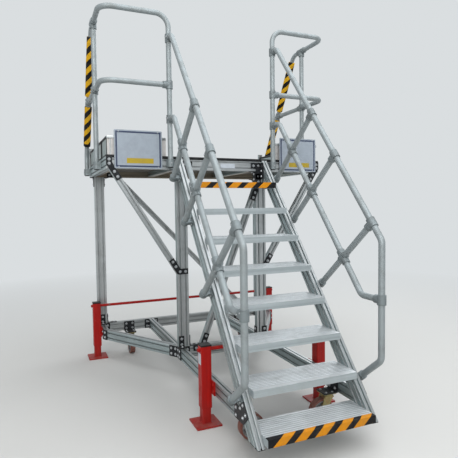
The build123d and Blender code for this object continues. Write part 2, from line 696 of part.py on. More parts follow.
def make_clamps():
    clamps = []
    for _, side in SIDES:
        inner = side * RAIL_X
        outer = side * GUARD_X
        front = at_y(POST_Y)
        post_y = at_y(SIDE_POST_Y)
        drop_y = at_y(HANDRAIL_DROP_Y)
        clamps.append(post_foot(side, inner, front, "deck front"))
        clamps.append(post_foot(side, outer, post_y, "deck side"))
        clamps.append(post_foot(side, outer, at_y(PAD_TUBE_FOOT_Y), "deck side"))

        clamps.append(fitting((inner, front, MID_RAIL_Z), UP, [(side, 0, 0)]))
        clamps.append(fitting((outer, post_y, MID_RAIL_Z), UP, [FORWARD, BACK]))
        pad_middle = (outer, pad_tube_y(MID_RAIL_Z), MID_RAIL_Z)
        clamps.append(fitting(pad_middle, pad_tube_direction(), [FORWARD]))
        clamps.append(fitting((outer, post_y, TOP_RAIL_Z), None, [FORWARD, BACK, DOWN]))

        for level in (HANDRAIL_TOP_LEVEL, HANDRAIL_MID_LEVEL):
            clamps.append(fitting((inner, front, DECK_TOP + level), UP, [FORWARD]))
        clamps.append(fitting((inner, drop_y, HANDRAIL_MID_FOOT_Z), UP, [BACK]))
        for distance in STRUT_YS:
            top, foot, crossing = strut_line(side, distance)
            clamps.append(fitting(top, UP_SLOPE, [foot - top]))
            clamps.append(fitting(crossing, foot - top, [UP_SLOPE, -UP_SLOPE]))
            clamps.append(stringer_palm(side, foot))
        foot_y, foot_z = stringer_foot(HANDRAIL_DROP_Y, HANDRAIL_FOOT_Z)
        clamps.append(stringer_palm(side, Vector(inner, at_y(foot_y), foot_z)))
    save("rail_clamps", *clamps)


# Joining plates

def plate(points, face_y):
    """Flat plate on a face that looks forward, its outline given by X and Z."""
    face = Plane(origin=(0, face_y, 0), x_dir=(1, 0, 0), z_dir=(0, -1, 0))
    return extrude(face * Polygon(*points, align=None), amount=GUSSET, dir=(0, -1, 0))


def strap(corners, face_y):
    """Flat strap one module wide along a line with a knee, given by X and Z."""
    start, knee, end = corners
    arms = [strap_arm(start, knee, face_y), strap_arm(knee, end, face_y)]
    return sum_of(arms) + rod((knee[0], face_y, knee[1]), FORWARD, PROFILE / 2, 0, GUSSET)


def strap_arm(start, end, face_y):
    """One straight arm of a strap."""
    run = Vector(end[0] - start[0], end[1] - start[1])
    across = Vector(-run.Y, run.X).normalized() * (PROFILE / 2)
    outline = [(start[0] + across.X, start[1] + across.Y), (end[0] + across.X, end[1] + across.Y),
               (end[0] - across.X, end[1] - across.Y), (start[0] - across.X, start[1] - across.Y)]
    return plate(outline, face_y)


def angle_bracket(corner, first, second, width, first_leg=PROFILE, second_leg=PROFILE, thick=GUSSET):
    """Bracket with a leg on each of two faces. With a negative thickness it wraps an outer corner."""
    corner, first, second, width = (Vector(*item) for item in (corner, first, second, width))
    first = first.normalized()
    second = second.normalized()
    cosine = first.dot(second)
    sine = math.sqrt(1 - cosine ** 2)
    off_first = (second - first * cosine) / sine * thick
    off_second = (first - second * cosine) / sine * thick
    outline = [
        corner, corner + first * first_leg, corner + first * first_leg + off_first,
        corner + (first + second) * (thick / sine),
        corner + second * second_leg + off_second, corner + second * second_leg,
    ]
    face = make_face(Polyline(*outline, close=True))
    return extrude(face, amount=width.length, dir=width.normalized())


def foot_brackets(side):
    """Brackets at the feet and heads of the legs."""
    brackets = []
    deep = (0, PROFILE, 0)
    wide = (side * PROFILE, 0, 0)
    rail_x = STAIR_INNER + PROFILE / 2
    for x, y, below in ((LEG_X, FRONT_PLANE, rail_x), (REAR_LEG_X, REAR_FACE, REAR_LEG_X)):
        inner = side * (x - PROFILE_TALL / 2)
        outer = side * (x + PROFILE_TALL / 2)
        inwards = (-side, 0, 0)
        foot = (inner, at_y(y), BASE_TOP)
        head = (inner, at_y(y), BEAM_BOTTOM)
        brackets.append(angle_bracket(foot, inwards, UP, deep, BRACKET_LEG, BRACKET_LEG))
        brackets.append(angle_bracket(head, inwards, DOWN, deep, PROFILE, BRACKET_LEG))
        reach = min(PROFILE, DECK_HALF_WIDTH - abs(outer))
        head = (outer, at_y(y), BEAM_BOTTOM)
        brackets.append(angle_bracket(head, (side, 0, 0), DOWN, deep, reach, BRACKET_LEG))
        front_corner = (side * (below - PROFILE / 2), at_y(y), BASE_TOP)
        brackets.append(angle_bracket(front_corner, FORWARD, UP, wide, PROFILE, BRACKET_LEG))
    return brackets


def rail_brackets(side):
    """Brackets between the rails of the base."""
    brackets = []
    tall = (0, 0, PROFILE_TALL)
    inwards = (-side, 0, 0)
    outwards = (side, 0, 0)
    rear = at_y(REAR_FACE)
    inner = side * STAIR_INNER
    outer = side * STAIR_OUTER
    brackets.append(angle_bracket((outer, rear, BASE_BOTTOM), outwards, FORWARD, tall))
    brackets.append(angle_bracket((inner, rear, BASE_BOTTOM), inwards, FORWARD, tall))
    brackets.append(angle_bracket((inner, at_y(FRONT_PLANE), BASE_BOTTOM), inwards, FORWARD, tall))
    brackets.append(angle_bracket((inner, at_y(FRONT_PLANE + PROFILE), BASE_BOTTOM), inwards, BACK, tall))

    side_inner = side * (REAR_LEG_X - PROFILE / 2)
    brackets.append(angle_bracket((side_inner, rear, BASE_BOTTOM), inwards, FORWARD, tall))

    start, knee = diagonal_rail_line(side)
    along = (knee - start).normalized()
    out = Vector(side * along.Y, -side * along.X, 0)
    edge = start + out * (PROFILE / 2)
    front_corner = edge - along * (edge.X - outer) / along.X
    tall_front = (front_corner.X, front_corner.Y, BASE_BOTTOM)
    brackets.append(angle_bracket(tall_front, FORWARD, along, tall, BRACKET_LEG, BRACKET_LEG))
    bisector = out + Vector(side, 0, 0)
    outer_knee = knee + bisector * (PROFILE / 2 / (1 + out.X * side))
    wrapped = (outer_knee.X, outer_knee.Y, BASE_BOTTOM)
    brackets.append(angle_bracket(wrapped, -along, BACK, tall, thick=-GUSSET))
    return brackets


def stringer_side_point(along, inset):
    """Distance and height of a point on a stringer's side, along its front edge and in from it."""
    edge = Vector(0, STRINGER_SETBACK, FIRST_TREAD_TOP)
    spot = edge + UP_SLOPE * along + INTO_SLOPE * inset
    return spot.Y, spot.Z


def stringer_plates(side):
    """Plates from each stringer to its base rail and to the deck's front beam."""
    face = Plane(origin=(side * STAIR_OUTER, 0, 0), x_dir=(0, 1, 0), z_dir=(1, 0, 0))
    rear = stringer_rear_y(BASE_BOTTOM)
    low = BASE_BOTTOM + FOOT_PLATE_MARGIN
    outline = [
        stringer_side_point(FOOT_PLATE_START, FOOT_PLATE_MARGIN),
        stringer_side_point(FOOT_PLATE_END, FOOT_PLATE_MARGIN),
        stringer_side_point(FOOT_PLATE_END, PROFILE_TALL - FOOT_PLATE_MARGIN),
        (rear + FOOT_PLATE_REACH, BASE_TOP), (rear + FOOT_PLATE_REACH, low), (rear + FOOT_PLATE_MARGIN, low),
    ]
    sketch = Polygon(*[(at_y(distance), z) for distance, z in outline], align=None)
    lower = extrude(face * sketch, amount=GUSSET, dir=(side, 0, 0))

    front = at_y(FRONT_PLANE)
    inner = side * STAIR_INNER
    half = PROFILE / 2
    middle = (BEAM_BOTTOM + DECK_TOP) / 2
    low = BEAM_BOTTOM - PROFILE - half
    face_y = front - GUSSET
    upper = box_between(inner, inner - side * PROFILE_TALL, face_y, front, middle - half, middle + half)
    upper += box_between(inner, inner - side * PROFILE, face_y, front, low, middle)
    upper += box_between(inner, inner - side * GUSSET, front - STRINGER_PLATE_DEPTH, front, low, middle + half)
    return [lower, upper]


def brace_straps():
    """Straps at the ends of the braces."""
    straps = []
    half = PROFILE / 2
    front = at_y(FRONT_PLANE)
    rear = at_y(REAR_FACE)
    for _, side in SIDES:
        top, foot = wing_brace_line(side)
        run = (top - foot).normalized()
        beam_x = side * (DECK_HALF_WIDTH - half)
        knee_z = top.Z + (beam_x - top.X) * run.Z / run.X
        arm_end = top - run * STRAP_REACH
        straps.append(strap([(beam_x, DECK_TOP), (beam_x, knee_z), (arm_end.X, arm_end.Z)], front))
        knee = foot - run * half
        arm_end = foot + run * STRAP_REACH
        across = knee.X - side * BRACE_PLATE_RISE
        straps.append(strap([(across, knee.Z), (knee.X, knee.Z), (arm_end.X, arm_end.Z)], front))

    foot, top = front_brace_line()
    run = (top - foot).normalized()
    knee = foot - run * (half / run.Z)
    arm_end = foot + run * STRAP_REACH
    bend = (knee.X, knee.Z)
    straps.append(strap([(knee.X - BRACE_PLATE_RISE, knee.Z), bend, (arm_end.X, arm_end.Z)], front))
    knee = top + run * (half / run.X)
    arm_end = top - run * STRAP_REACH
    bend = (knee.X, knee.Z)
    straps.append(strap([(knee.X, knee.Z + BRACE_PLATE_RISE), bend, (arm_end.X, arm_end.Z)], front))

    for end, other in (rear_brace_line(), rear_brace_line()[::-1]):
        run = (other - end).normalized()
        knee = end - run * (half / abs(run.Z))
        arm_end = end + run * STRAP_REACH
        outwards = math.copysign(BRACE_PLATE_RISE, end.X)
        straps.append(strap([(knee.X + outwards, knee.Z), (knee.X, knee.Z), (arm_end.X, arm_end.Z)], rear))
    return straps


def make_gussets():
    plates = brace_straps()
    for _, side in SIDES:
        plates.extend(foot_brackets(side))
        plates.extend(rail_brackets(side))
        plates.extend(stringer_plates(side))
    save("gussets", *plates)


# Jacks

def jack_places():
    """Name, side, X and distance behind the first nosing of each jack."""
    front_x = STAIR_OUTER + JACK_BRACKET + JACK_TUBE / 2
    rear_x = REAR_LEG_X + PROFILE / 2 + JACK_BRACKET + JACK_TUBE / 2
    places = []
    for name, side in SIDES:
        places.append((f"front_{name}", side, side * front_x, FRONT_JACK_Y))
        places.append((f"rear_{name}", side, side * rear_x, REAR_JACK_Y))
    return places


def square_tube(x, y, size, wall, corner, z0, z1):
    """Upright square tube with rounded corners, open at both ends."""
    bore = size - 2 * wall
    outline = RectangleRounded(size, size, corner) - RectangleRounded(bore, bore, corner - wall)
    return extrude(Pos(x, y, z0) * outline, amount=z1 - z0)


def make_jacks():
    housings = []
    caps = []
    leg_size = JACK_TUBE - 2 * JACK_WALL - 2 * JACK_LEG_CLEARANCE
    for name, side, x, distance in jack_places():
        y = at_y(distance)
        half = JACK_TUBE / 2
        housing = square_tube(x, y, JACK_TUBE, JACK_WALL, JACK_CORNER, JACK_TUBE_BOTTOM, JACK_TOP)
        housing -= rod((x, y, SHAFT_Z), (1, 0, 0), SHAFT_RADIUS, -JACK_TUBE, JACK_TUBE)
        rail_face = x - side * (half + JACK_BRACKET)
        front = y - JACK_BRACKET_REACH
        back = y + JACK_BRACKET_REACH
        housings.append(housing + box_between(rail_face, x - side * half, front, back, BASE_BOTTOM, BASE_TOP))
        cap_half = half + JACK_CAP_LIP
        cap_top = JACK_TOP + JACK_CAP
        caps.append(box_between(x - cap_half, x + cap_half, y - cap_half, y + cap_half, JACK_TOP, cap_top))
        leg = square_tube(
            x, y, leg_size, JACK_LEG_WALL, JACK_LEG_CORNER, JACK_FOOT_THICKNESS, JACK_LEG_TOP)
        foot = box_between(x - JACK_FOOT / 2, x + JACK_FOOT / 2, y - JACK_FOOT / 2, y + JACK_FOOT / 2,
                           0, JACK_FOOT_THICKNESS)
        save(f"jack_leg_{name}", leg + foot)
    save("jack_housings", *housings)
    save("jack_caps", *caps)

    shafts = []
    for name, side, x, distance in jack_places():
        if side > 0:
            reach = x + JACK_TUBE / 2 + SHAFT_STUB
            centre = (0, at_y(distance), SHAFT_Z)
            shaft = rod(centre, (1, 0, 0), SHAFT_RADIUS, -reach, reach)
            shafts.append(shaft - rod(centre, (1, 0, 0), SHAFT_RADIUS - SHAFT_WALL, -reach, reach))
    save("jack_shafts", *shafts)


# Castors

def castor_places():
    """Name, axis position and trail direction in degrees of each castor."""
    front_x = STAIR_INNER - CASTOR_BRACKET - PROFILE
    rear_y = REAR_FACE - CASTOR_BRACKET - PROFILE
    return (
        ("front_left", -front_x, FRONT_CASTOR_Y, 0.0),
        ("front_right", front_x, FRONT_CASTOR_Y, 180.0),
        ("rear_left", -REAR_CASTOR_X, rear_y, 270.0),
        ("rear_right", REAR_CASTOR_X, rear_y, 270.0),
    )


def castor_fork():
    """Fork with its swivel axis at X = Y = 0 and the wheel trailing towards +X."""
    top = CASTOR_HEIGHT - CASTOR_PLATE - FACE_CLEARANCE
    crown_top = top - SWIVEL_HEIGHT
    crown_bottom = WHEEL_RADIUS * 2 + FORK_GAP
    inner = WHEEL_WIDTH / 2 + FORK_GAP
    outer = inner + FORK_PLATE
    fork = Pos(0, 0, top - SWIVEL_HEIGHT / 2) * Cylinder(SWIVEL_RADIUS, SWIVEL_HEIGHT)
    fork += Pos(0, 0, top + CASTOR_PLATE / 2) * Cylinder(KINGPIN_RADIUS, CASTOR_PLATE)
    fork += box_between(-SWIVEL_RADIUS, SWIVEL_RADIUS, -outer, outer, crown_bottom, crown_top)
    boss = AXLE_RADIUS * 3
    cheek = Polygon(
        (-SWIVEL_RADIUS, crown_top), (SWIVEL_RADIUS, crown_top),
        (TRAIL + boss, WHEEL_RADIUS), (TRAIL - boss, WHEEL_RADIUS), align=None,
    ) + Pos(TRAIL, WHEEL_RADIUS) * Circle(boss)
    for y in (inner, -outer):
        face = Plane(origin=(0, y + FORK_PLATE, 0), x_dir=(1, 0, 0), z_dir=(0, -1, 0))
        fork += extrude(face * cheek, amount=FORK_PLATE, dir=(0, -1, 0))
    axle = Rot(90, 0, 0) * Cylinder(AXLE_RADIUS, 2 * outer + 2 * AXLE_RADIUS)
    return fork + Pos(TRAIL, 0, WHEEL_RADIUS) * axle


def castor_wheel():
    """Rim and tyre on the wheel's own axis, which is Y, at the axle."""
    rim_outer = WHEEL_RADIUS - TYRE_THICKNESS
    rim_inner = rim_outer - RIM_THICKNESS
    hub_length = WHEEL_WIDTH + 2 * (FORK_GAP - FACE_CLEARANCE)
    rim = Cylinder(rim_outer, WHEEL_WIDTH - 2 * RIM_INSET) - Cylinder(rim_inner, WHEEL_WIDTH)
    for index in range(SPOKE_COUNT):
        spoke_length = rim_inner - HUB_RADIUS + 2 * SPOKE_SINK
        spoke = Pos((HUB_RADIUS + rim_inner) / 2, 0, 0) * Box(spoke_length, SPOKE_WIDTH, SPOKE_DEPTH)
        rim += Rot(0, 0, index * 360 / SPOKE_COUNT) * spoke
    rim += Cylinder(HUB_RADIUS, hub_length)
    rim -= Cylinder(AXLE_RADIUS + RUNNING_CLEARANCE, hub_length + CUT_PAST)
    tyre = Cylinder(WHEEL_RADIUS, WHEEL_WIDTH) - Cylinder(rim_outer, WHEEL_WIDTH + CUT_PAST)
    turn = Rot(90, 0, 0)
    return turn * rim, turn * tyre


def make_castors():
    brackets = []
    plates = []
    fork = castor_fork()
    rim, tyre = castor_wheel()
    half = CASTOR_PLATE_SIZE / 2
    flange_top = CASTOR_HEIGHT + CASTOR_BRACKET
    for name, x, distance, trail in castor_places():
        y = at_y(distance)
        place = Pos(x, y, 0) * Rot(0, 0, trail)
        wheel_place = place * Pos(TRAIL, 0, WHEEL_RADIUS)
        save(f"castor_fork_{name}", place * fork)
        save(f"castor_rim_{name}", wheel_place * rim)
        save(f"castor_tyre_{name}", wheel_place * tyre)
        hole = Pos(x, y, CASTOR_HEIGHT) * Cylinder(KINGPIN_RADIUS + RUNNING_CLEARANCE, 2 * CASTOR_PLATE)
        plate_box = box_between(x - PROFILE, x + PROFILE, y - PROFILE, y + PROFILE,
                                CASTOR_HEIGHT - CASTOR_PLATE, CASTOR_HEIGHT)
        plates.append(plate_box - hole)
        if name.startswith("front"):
            side = math.copysign(1, x)
            face = side * STAIR_INNER
            flange = box_between(face, x - side * PROFILE, y - half, y + half, CASTOR_HEIGHT, flange_top)
            inner = face - side * CASTOR_BRACKET
            upright = box_between(face, inner, y - half, y + half, CASTOR_HEIGHT, BASE_TOP)
        else:
            face = at_y(REAR_FACE)
            flange = box_between(x - half, x + half, face, y - PROFILE, CASTOR_HEIGHT, flange_top)
            upright = box_between(x - half, x + half, face, face - CASTOR_BRACKET, CASTOR_HEIGHT, BASE_TOP)
        brackets.append(flange + upright)
    save("castor_brackets", *brackets)
    save("castor_plates", *plates)


make_base()
make_legs()
make_braces()
make_deck()
make_kick_boards()
make_stair()
make_guards()
make_handrails()
make_clamps()
make_gussets()
make_jacks()
make_castors()
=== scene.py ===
import math
import random

import bmesh
import bpy
from mathutils import Matrix, Vector


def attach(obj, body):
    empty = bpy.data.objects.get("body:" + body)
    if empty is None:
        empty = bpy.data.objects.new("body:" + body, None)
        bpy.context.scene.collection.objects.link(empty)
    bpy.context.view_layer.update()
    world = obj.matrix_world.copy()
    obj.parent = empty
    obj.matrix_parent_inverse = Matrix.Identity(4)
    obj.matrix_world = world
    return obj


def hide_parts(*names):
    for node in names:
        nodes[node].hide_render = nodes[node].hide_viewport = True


# Looks of a mobile access stand for an aircraft cargo door. Metres, in the stand's own frame:
# +X is to the right of a person climbing the stair, +Y the way it climbs, +Z up, the floor at Z = 0.

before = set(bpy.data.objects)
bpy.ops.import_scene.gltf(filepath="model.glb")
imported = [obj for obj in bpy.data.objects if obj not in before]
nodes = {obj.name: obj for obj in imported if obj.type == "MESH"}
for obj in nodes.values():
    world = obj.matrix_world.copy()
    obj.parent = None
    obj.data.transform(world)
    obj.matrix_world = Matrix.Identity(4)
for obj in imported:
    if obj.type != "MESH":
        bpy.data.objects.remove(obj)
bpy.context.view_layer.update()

# Sizes that the looks share with the stand
PROFILE = 0.045
PROFILE_TALL = 0.090
RISER = 0.200
GOING = 0.167
FIRST_TREAD_TOP = 0.200
TREAD_COUNT = 8
TREAD_LENGTH = 0.700
TREAD_DEPTH = 0.235
TREAD_NOSE = 0.042
TREAD_RIB_HEIGHT = 0.002
TREAD_RIB_PITCH = 0.020
TREAD_RIB_WIDTH = 0.008
TREAD_END_PLATE = 0.003
HAZARD_TOP_WIDTH = 0.030
STRINGER_SETBACK = 0.077
STRINGER_BOTTOM = 0.140
BASE_BOTTOM = 0.200
BASE_TOP = 0.290
DECK_TOP = 1.800
BEAM_BOTTOM = 1.710
FRONT_PLANE = 1.440
REAR_PLANE = 2.535
REAR_FACE = REAR_PLANE - PROFILE
DECK_HALF_WIDTH = 0.930
PLANK_COUNT = 6
EDGE_STRIP = 0.003
KICK_HEIGHT = 0.150
KICK_THICKNESS = 0.018
KICK_GAP = 0.030
STAIR_INNER = TREAD_LENGTH / 2
STAIR_OUTER = STAIR_INNER + PROFILE
LEG_X = STAIR_OUTER - PROFILE_TALL / 2
REAR_LEG_X = 0.850
DIAGONAL_FRONT_Y = 1.515
SIDE_RAIL_FRONT_Y = 2.265
TUBE_RADIUS = 0.020
CLAMP_RADIUS = 0.027
RAIL_X = STAIR_OUTER + 0.053
GUARD_X = DECK_HALF_WIDTH + 0.028
POST_Y = FRONT_PLANE - 0.045
SIDE_POST_Y = FRONT_PLANE + 0.315
GUARD_POST_BELOW = 0.075
TOP_RAIL_Z = 2.880
MID_RAIL_Z = 2.350
PAD_TUBE_LEVEL = 0.145
PAD_TUBE_FOOT_Y = REAR_PLANE - 0.045
PAD_TUBE_FOOT_RISE = 0.110
PAD_BREAK_ABOVE = 0.058
PAD_BREAK_BELOW = 0.032
HANDRAIL_RISE = 0.925
HANDRAIL_MID_RISE = 0.355
HANDRAIL_TOP_LEVEL = 0.900
HANDRAIL_MID_LEVEL = 0.290
HANDRAIL_DROP_Y = 0.065
HANDRAIL_FOOT_Z = 0.486
HANDRAIL_MID_FOOT_Z = 0.850
STRUT_YS = (0.150, 0.525, 0.800)
PALM_THICKNESS = 0.008
GUSSET = 0.006
BRACKET_LEG = 0.090
STRAP_REACH = 0.095
BRACE_PLATE_RISE = 0.075
WING_BRACE_DROP = 0.790
WING_BRACE_TOP_INSET = 0.045
FRONT_BRACE_RISE = 1.265
FRONT_BRACE_FOOT_X = -0.190
REAR_BRACE_TOP_X = -0.678
JACK_TUBE = 0.070
JACK_BRACKET = 0.008
JACK_FOOT_THICKNESS = 0.010
JACK_LEG_SIZE = 0.059
FRONT_JACK_Y = 0.710
REAR_JACK_Y = 2.400
CASTOR_HEIGHT = 0.195
CASTOR_BRACKET = 0.008
WHEEL_RADIUS = 0.080
TRAIL = 0.045
FORK_OUTER = 0.0315
AXLE_RADIUS = 0.006
FRONT_CASTOR_Y = 0.410
REAR_CASTOR_X = 0.595

# Sizes that only the looks have
STRIPE_COUNT = 5
STRIPE_PITCH = 0.128
STRIPE_START = -0.317
STRIPE_LEAN = 1.1
PAD_RADIUS = 0.031
PAD_BAND_PERIOD = 0.112
PAD_HEAD = 0.060
PAD_TAILS = {-1: 0.100, 1: 0.050}
PAD_DARK_END = 0.032
FOAM_BORE = TUBE_RADIUS + 0.0003
FOAM_EDGE = 0.007
FOAM_STEP = 0.03
FOAM_SWELL = 0.0005
FOAM_SEGMENTS = 72
SLIT_DEPTH = 0.0045
SLIT_HALF_ANGLE = 0.10
GRIP_RIBS_TO_A_PLANK = 9
GRIP_RIB_INSET = 0.002
FOOT_BOLTS_ALONG = (0.113, 0.168)
FOOT_BOLTS_REAR = 0.101
CASTOR_UPRIGHT_BOLT = 0.030
CASTOR_FLANGE_BOLT = 0.033
CASTOR_FLANGE_BOLTS_DEEP = (-0.024, 0.022)
JACK_BOLT = 0.055
PALM_BOLT = 0.021
FLANGE_BOLT_SIZE = 0.72
PALM_BOLT_SIZE = 0.62
RIVET_SIZE = 0.42
SCREW_OFF_MIDDLE = 0.016
SCREW_PAST_SLEEVE = 0.012
TRIM_LIP = 0.018
TRIM_WALL = 0.003
TRIM_EDGE = 0.002
FINE_EDGE = 0.0012
FRONT_TRIM_INSET = 0.002
FRONT_TRIM_PROUD = 0.003
FRONT_TRIM_FACE = 0.010
FRONT_TRIM_DEPTH = 0.011
FRONT_TRIM_RISE = 0.012
SIGN_WIDTH = 0.365
SIGN_CENTRES = (-0.687, 0.714)
SIGN_LOW = 1.712
SIGN_HIGH = 2.000
SIGN_STANDOFF = 0.0095
SIGN_PLATE = 0.003
SIGN_BORDER = (0.020, 0.044)
SIGN_LABEL = (0.205, 0.039)
SIGN_LABEL_PLACE = (0.012, 0.058)
SIGN_RAIL_X = 0.150
SIGN_RAIL_HALF = 0.012
SIGN_RAIL_FOOT = 0.004
SIGN_RAIL_HEAD = 0.010
DECK_LABEL = (0.128, 0.036)
DECK_LABEL_PLACE = (0.049, 1.7485)
JACK_LABEL = (0.048, 0.072)
JACK_LABEL_Z = 0.432
LABEL_PROUD = 0.0005
LABEL_FILM = 0.0004
CAP_EDGE = 0.0035
CAP_INSET = 0.001
TUBE_CAP_RADIUS = TUBE_RADIUS + 0.0005
TUBE_CAP = ((0, 0.0), (TUBE_CAP_RADIUS, 0.0), (TUBE_CAP_RADIUS, 0.003), (TUBE_RADIUS - 0.001, 0.005),
            (0, 0.0055))
WASHER_RADIUS = 0.0118
WASHER_THICKNESS = 0.0016
NUT_SEAT = 0.0017
NUT_ACROSS_FLATS = 0.018
NUT_HEIGHT = 0.0052
NUT_BORE = AXLE_RADIUS + 0.0002
NUT_SHOULDER = 0.86
SWIVEL_RACE = ((0.0362, 0.1748), (0.0392, 0.1760), (0.0400, 0.1795), (0.0400, 0.1842), (0.0380, 0.1862),
               (0.0362, 0.1862), (0.0362, 0.1748))
WELD_RADIUS = 0.0042
WELD_OVERLAP = 0.9
WELD_HEIGHT = 0.9
FILM = 0.0003
FILM_PROUD = 0.0004

CORNERS = ("front_left", "front_right", "rear_left", "rear_right")
SIDES = ((-1, "left"), (1, "right"))
RIGHT = Vector((1, 0, 0))
UP = Vector((0, 0, 1))
FORWARD = Vector((0, -1, 0))
BACK = Vector((0, 1, 0))
SLOPE = math.atan2(RISER, GOING)
UP_SLOPE = Vector((0, math.cos(SLOPE), math.sin(SLOPE)))
INTO_SLOPE = Vector((0, math.sin(SLOPE), -math.cos(SLOPE)))
STAIR_START = -1.276


def at_y(distance):
    """Y of a point that lies this far behind the first nosing."""
    return STAIR_START + distance


# Node trees

class Nodes:
    """Node tree with short ways to fill it. Arguments are values or other nodes' sockets."""

    def __init__(self, tree, place=None):
        self.tree = tree
        self.place = place

    def connect(self, value, socket):
        """Links a socket, or sets it. A colour of three numbers is made opaque."""
        if isinstance(value, bpy.types.NodeSocket):
            self.tree.links.new(value, socket)
        elif socket.type == "RGBA":
            socket.default_value = (*value, 1.0)
        else:
            socket.default_value = value

    def add(self, kind, inputs=(), **settings):
        node = self.tree.nodes.new(kind)
        for name, value in settings.items():
            setattr(node, name, value)
        for key, value in dict(inputs).items():
            self.connect(value, node.inputs[key])
        return node

    def maths(self, operation, first, *others, clamp=False):
        """Result of a calculation, taken from left to right."""
        for other in others or (0.0,):
            node = self.add("ShaderNodeMath", {0: first, 1: other}, operation=operation, use_clamp=clamp)
            first = node.outputs[0]
        return first

    def times(self, *values):
        return self.maths("MULTIPLY", *values)

    def blend(self, share, first, second):
        """First colour turned into the second by a mask."""
        return self.add("ShaderNodeMix", {0: share, 6: first, 7: second}, data_type="RGBA").outputs[2]

    def spread(self, value, low, high, new_low=0.0, new_high=1.0):
        """Value stretched from one range to another and held inside it."""
        return self.add("ShaderNodeMapRange", {"Value": value, "From Min": low, "From Max": high,
                                               "To Min": new_low, "To Max": new_high}).outputs[0]

    def noise(self, scale, detail, vector=None, roughness=0.6, distortion=0.0):
        values = {"Vector": vector or self.place, "Scale": scale, "Detail": detail, "Roughness": roughness,
                  "Distortion": distortion}
        return self.add("ShaderNodeTexNoise", values).outputs["Fac"]

    def parts(self, vector=None):
        """X, Y and Z of a vector, or of the place."""
        return self.add("ShaderNodeSeparateXYZ", {0: vector or self.place}).outputs

    def facing(self):
        """X, Y and Z of the way that a face looks."""
        return self.parts(self.add("ShaderNodeNewGeometry").outputs["Normal"])

    def stretched(self, *scale):
        return self.add("ShaderNodeMapping", {"Vector": self.place, "Scale": scale}).outputs[0]


def node_group(name, kind, inputs, outputs):
    """Empty node group, with what its start gives and what its end takes."""
    tree = bpy.data.node_groups.new(name, kind)
    for label, socket, default in inputs:
        made = tree.interface.new_socket(label, in_out="INPUT", socket_type=socket)
        if default is not None:
            made.default_value = default
    for label, socket in outputs:
        tree.interface.new_socket(label, in_out="OUTPUT", socket_type=socket)
    group = Nodes(tree)
    return group, group.add("NodeGroupInput").outputs, group.add("NodeGroupOutput").inputs


# Effects that several finishes share

def effect(name, values, *outputs):
    """Group that reads a Vector and some values, and gives masks."""
    inputs = [("Vector", "NodeSocketVector", None)]
    inputs += [(label, "NodeSocketFloat", value) for label, value in values.items()]
    group, given, result = node_group(name, "ShaderNodeTree", inputs,
                                      [(label, "NodeSocketFloat") for label in outputs])
    group.place = given["Vector"]
    return group, given, result


def make_drawn_grain():
    """Fine lines and faint bands that run along X, as extruding leaves them."""
    group, given, result = effect("drawn_grain", {"Lines per metre": 900.0, "Stretch": 0.012},
                                  "Lines", "Bands")
    stretch = group.add("ShaderNodeCombineXYZ", {"X": given["Stretch"], "Y": 1.0, "Z": 1.0}).outputs[0]
    drawn = group.add("ShaderNodeVectorMath", {0: group.place, 1: stretch}, operation="MULTIPLY").outputs[0]
    group.connect(group.noise(given["Lines per metre"], 2.0, drawn), result["Lines"])
    group.connect(group.spread(group.noise(55.0, 2.0, drawn, 0.5), 0.3, 0.7), result["Bands"])
    return group.tree


def make_handling():
    """Smudges and dull patches from hands and boots."""
    group, given, result = effect("handling", {"Patch size": 0.12, "Amount": 0.5}, "Patches", "Specks")
    cloud = group.noise(group.maths("DIVIDE", 1.0, given["Patch size"]), 5.0, roughness=0.62, distortion=0.4)
    group.connect(group.times(group.spread(cloud, 0.45, 0.75), given["Amount"]), result["Patches"])
    group.connect(group.spread(group.noise(420.0, 3.0, roughness=0.5), 0.58, 0.72), result["Specks"])
    return group.tree


def make_settled_dust():
    """Dust that lies on faces that look upwards."""
    group, given, result = effect("settled_dust", {"Amount": 0.5}, "Dust")
    level = group.spread(group.facing()["Z"], 0.5, 0.95)
    patch = group.spread(group.noise(14.0, 6.0, roughness=0.65), 0.35, 0.7)
    group.connect(group.times(level, patch, given["Amount"]), result["Dust"])
    return group.tree


def make_chipped_paint():
    """Places where paint is knocked off."""
    group, given, result = effect("chipped_paint", {"Chip size": 0.02, "Share": 0.3}, "Chips")
    fine = group.noise(group.maths("DIVIDE", 1.0, given["Chip size"]), 6.0, roughness=0.7)
    joined = group.times(group.noise(9.0, 2.0, roughness=0.5), fine)
    edge = group.maths("SUBTRACT", 0.46, group.times(given["Share"], 0.12))
    group.connect(group.maths("GREATER_THAN", joined, edge), result["Chips"])
    return group.tree


def make_warning_bands():
    """Mask of bands across a running length, with slightly worn edges."""
    group, given, result = effect("warning_bands", {"Run": 0.0, "Period": 0.1, "Share": 0.5}, "Bands")
    wobble = group.maths("SUBTRACT", group.noise(160.0, 3.0, roughness=0.5), 0.5)
    run = group.maths("ADD", given["Run"], group.times(wobble, 0.0022))
    place = group.maths("FRACT", group.maths("DIVIDE", run, given["Period"]))
    group.connect(group.maths("LESS_THAN", place, given["Share"]), result["Bands"])
    return group.tree


DRAWN_GRAIN = make_drawn_grain()
HANDLING = make_handling()
SETTLED_DUST = make_settled_dust()
CHIPPED_PAINT = make_chipped_paint()
WARNING_BANDS = make_warning_bands()
DUST_COLOUR = (0.30, 0.27, 0.22)
GRAIN_SPAN = (0.3, 0.7)


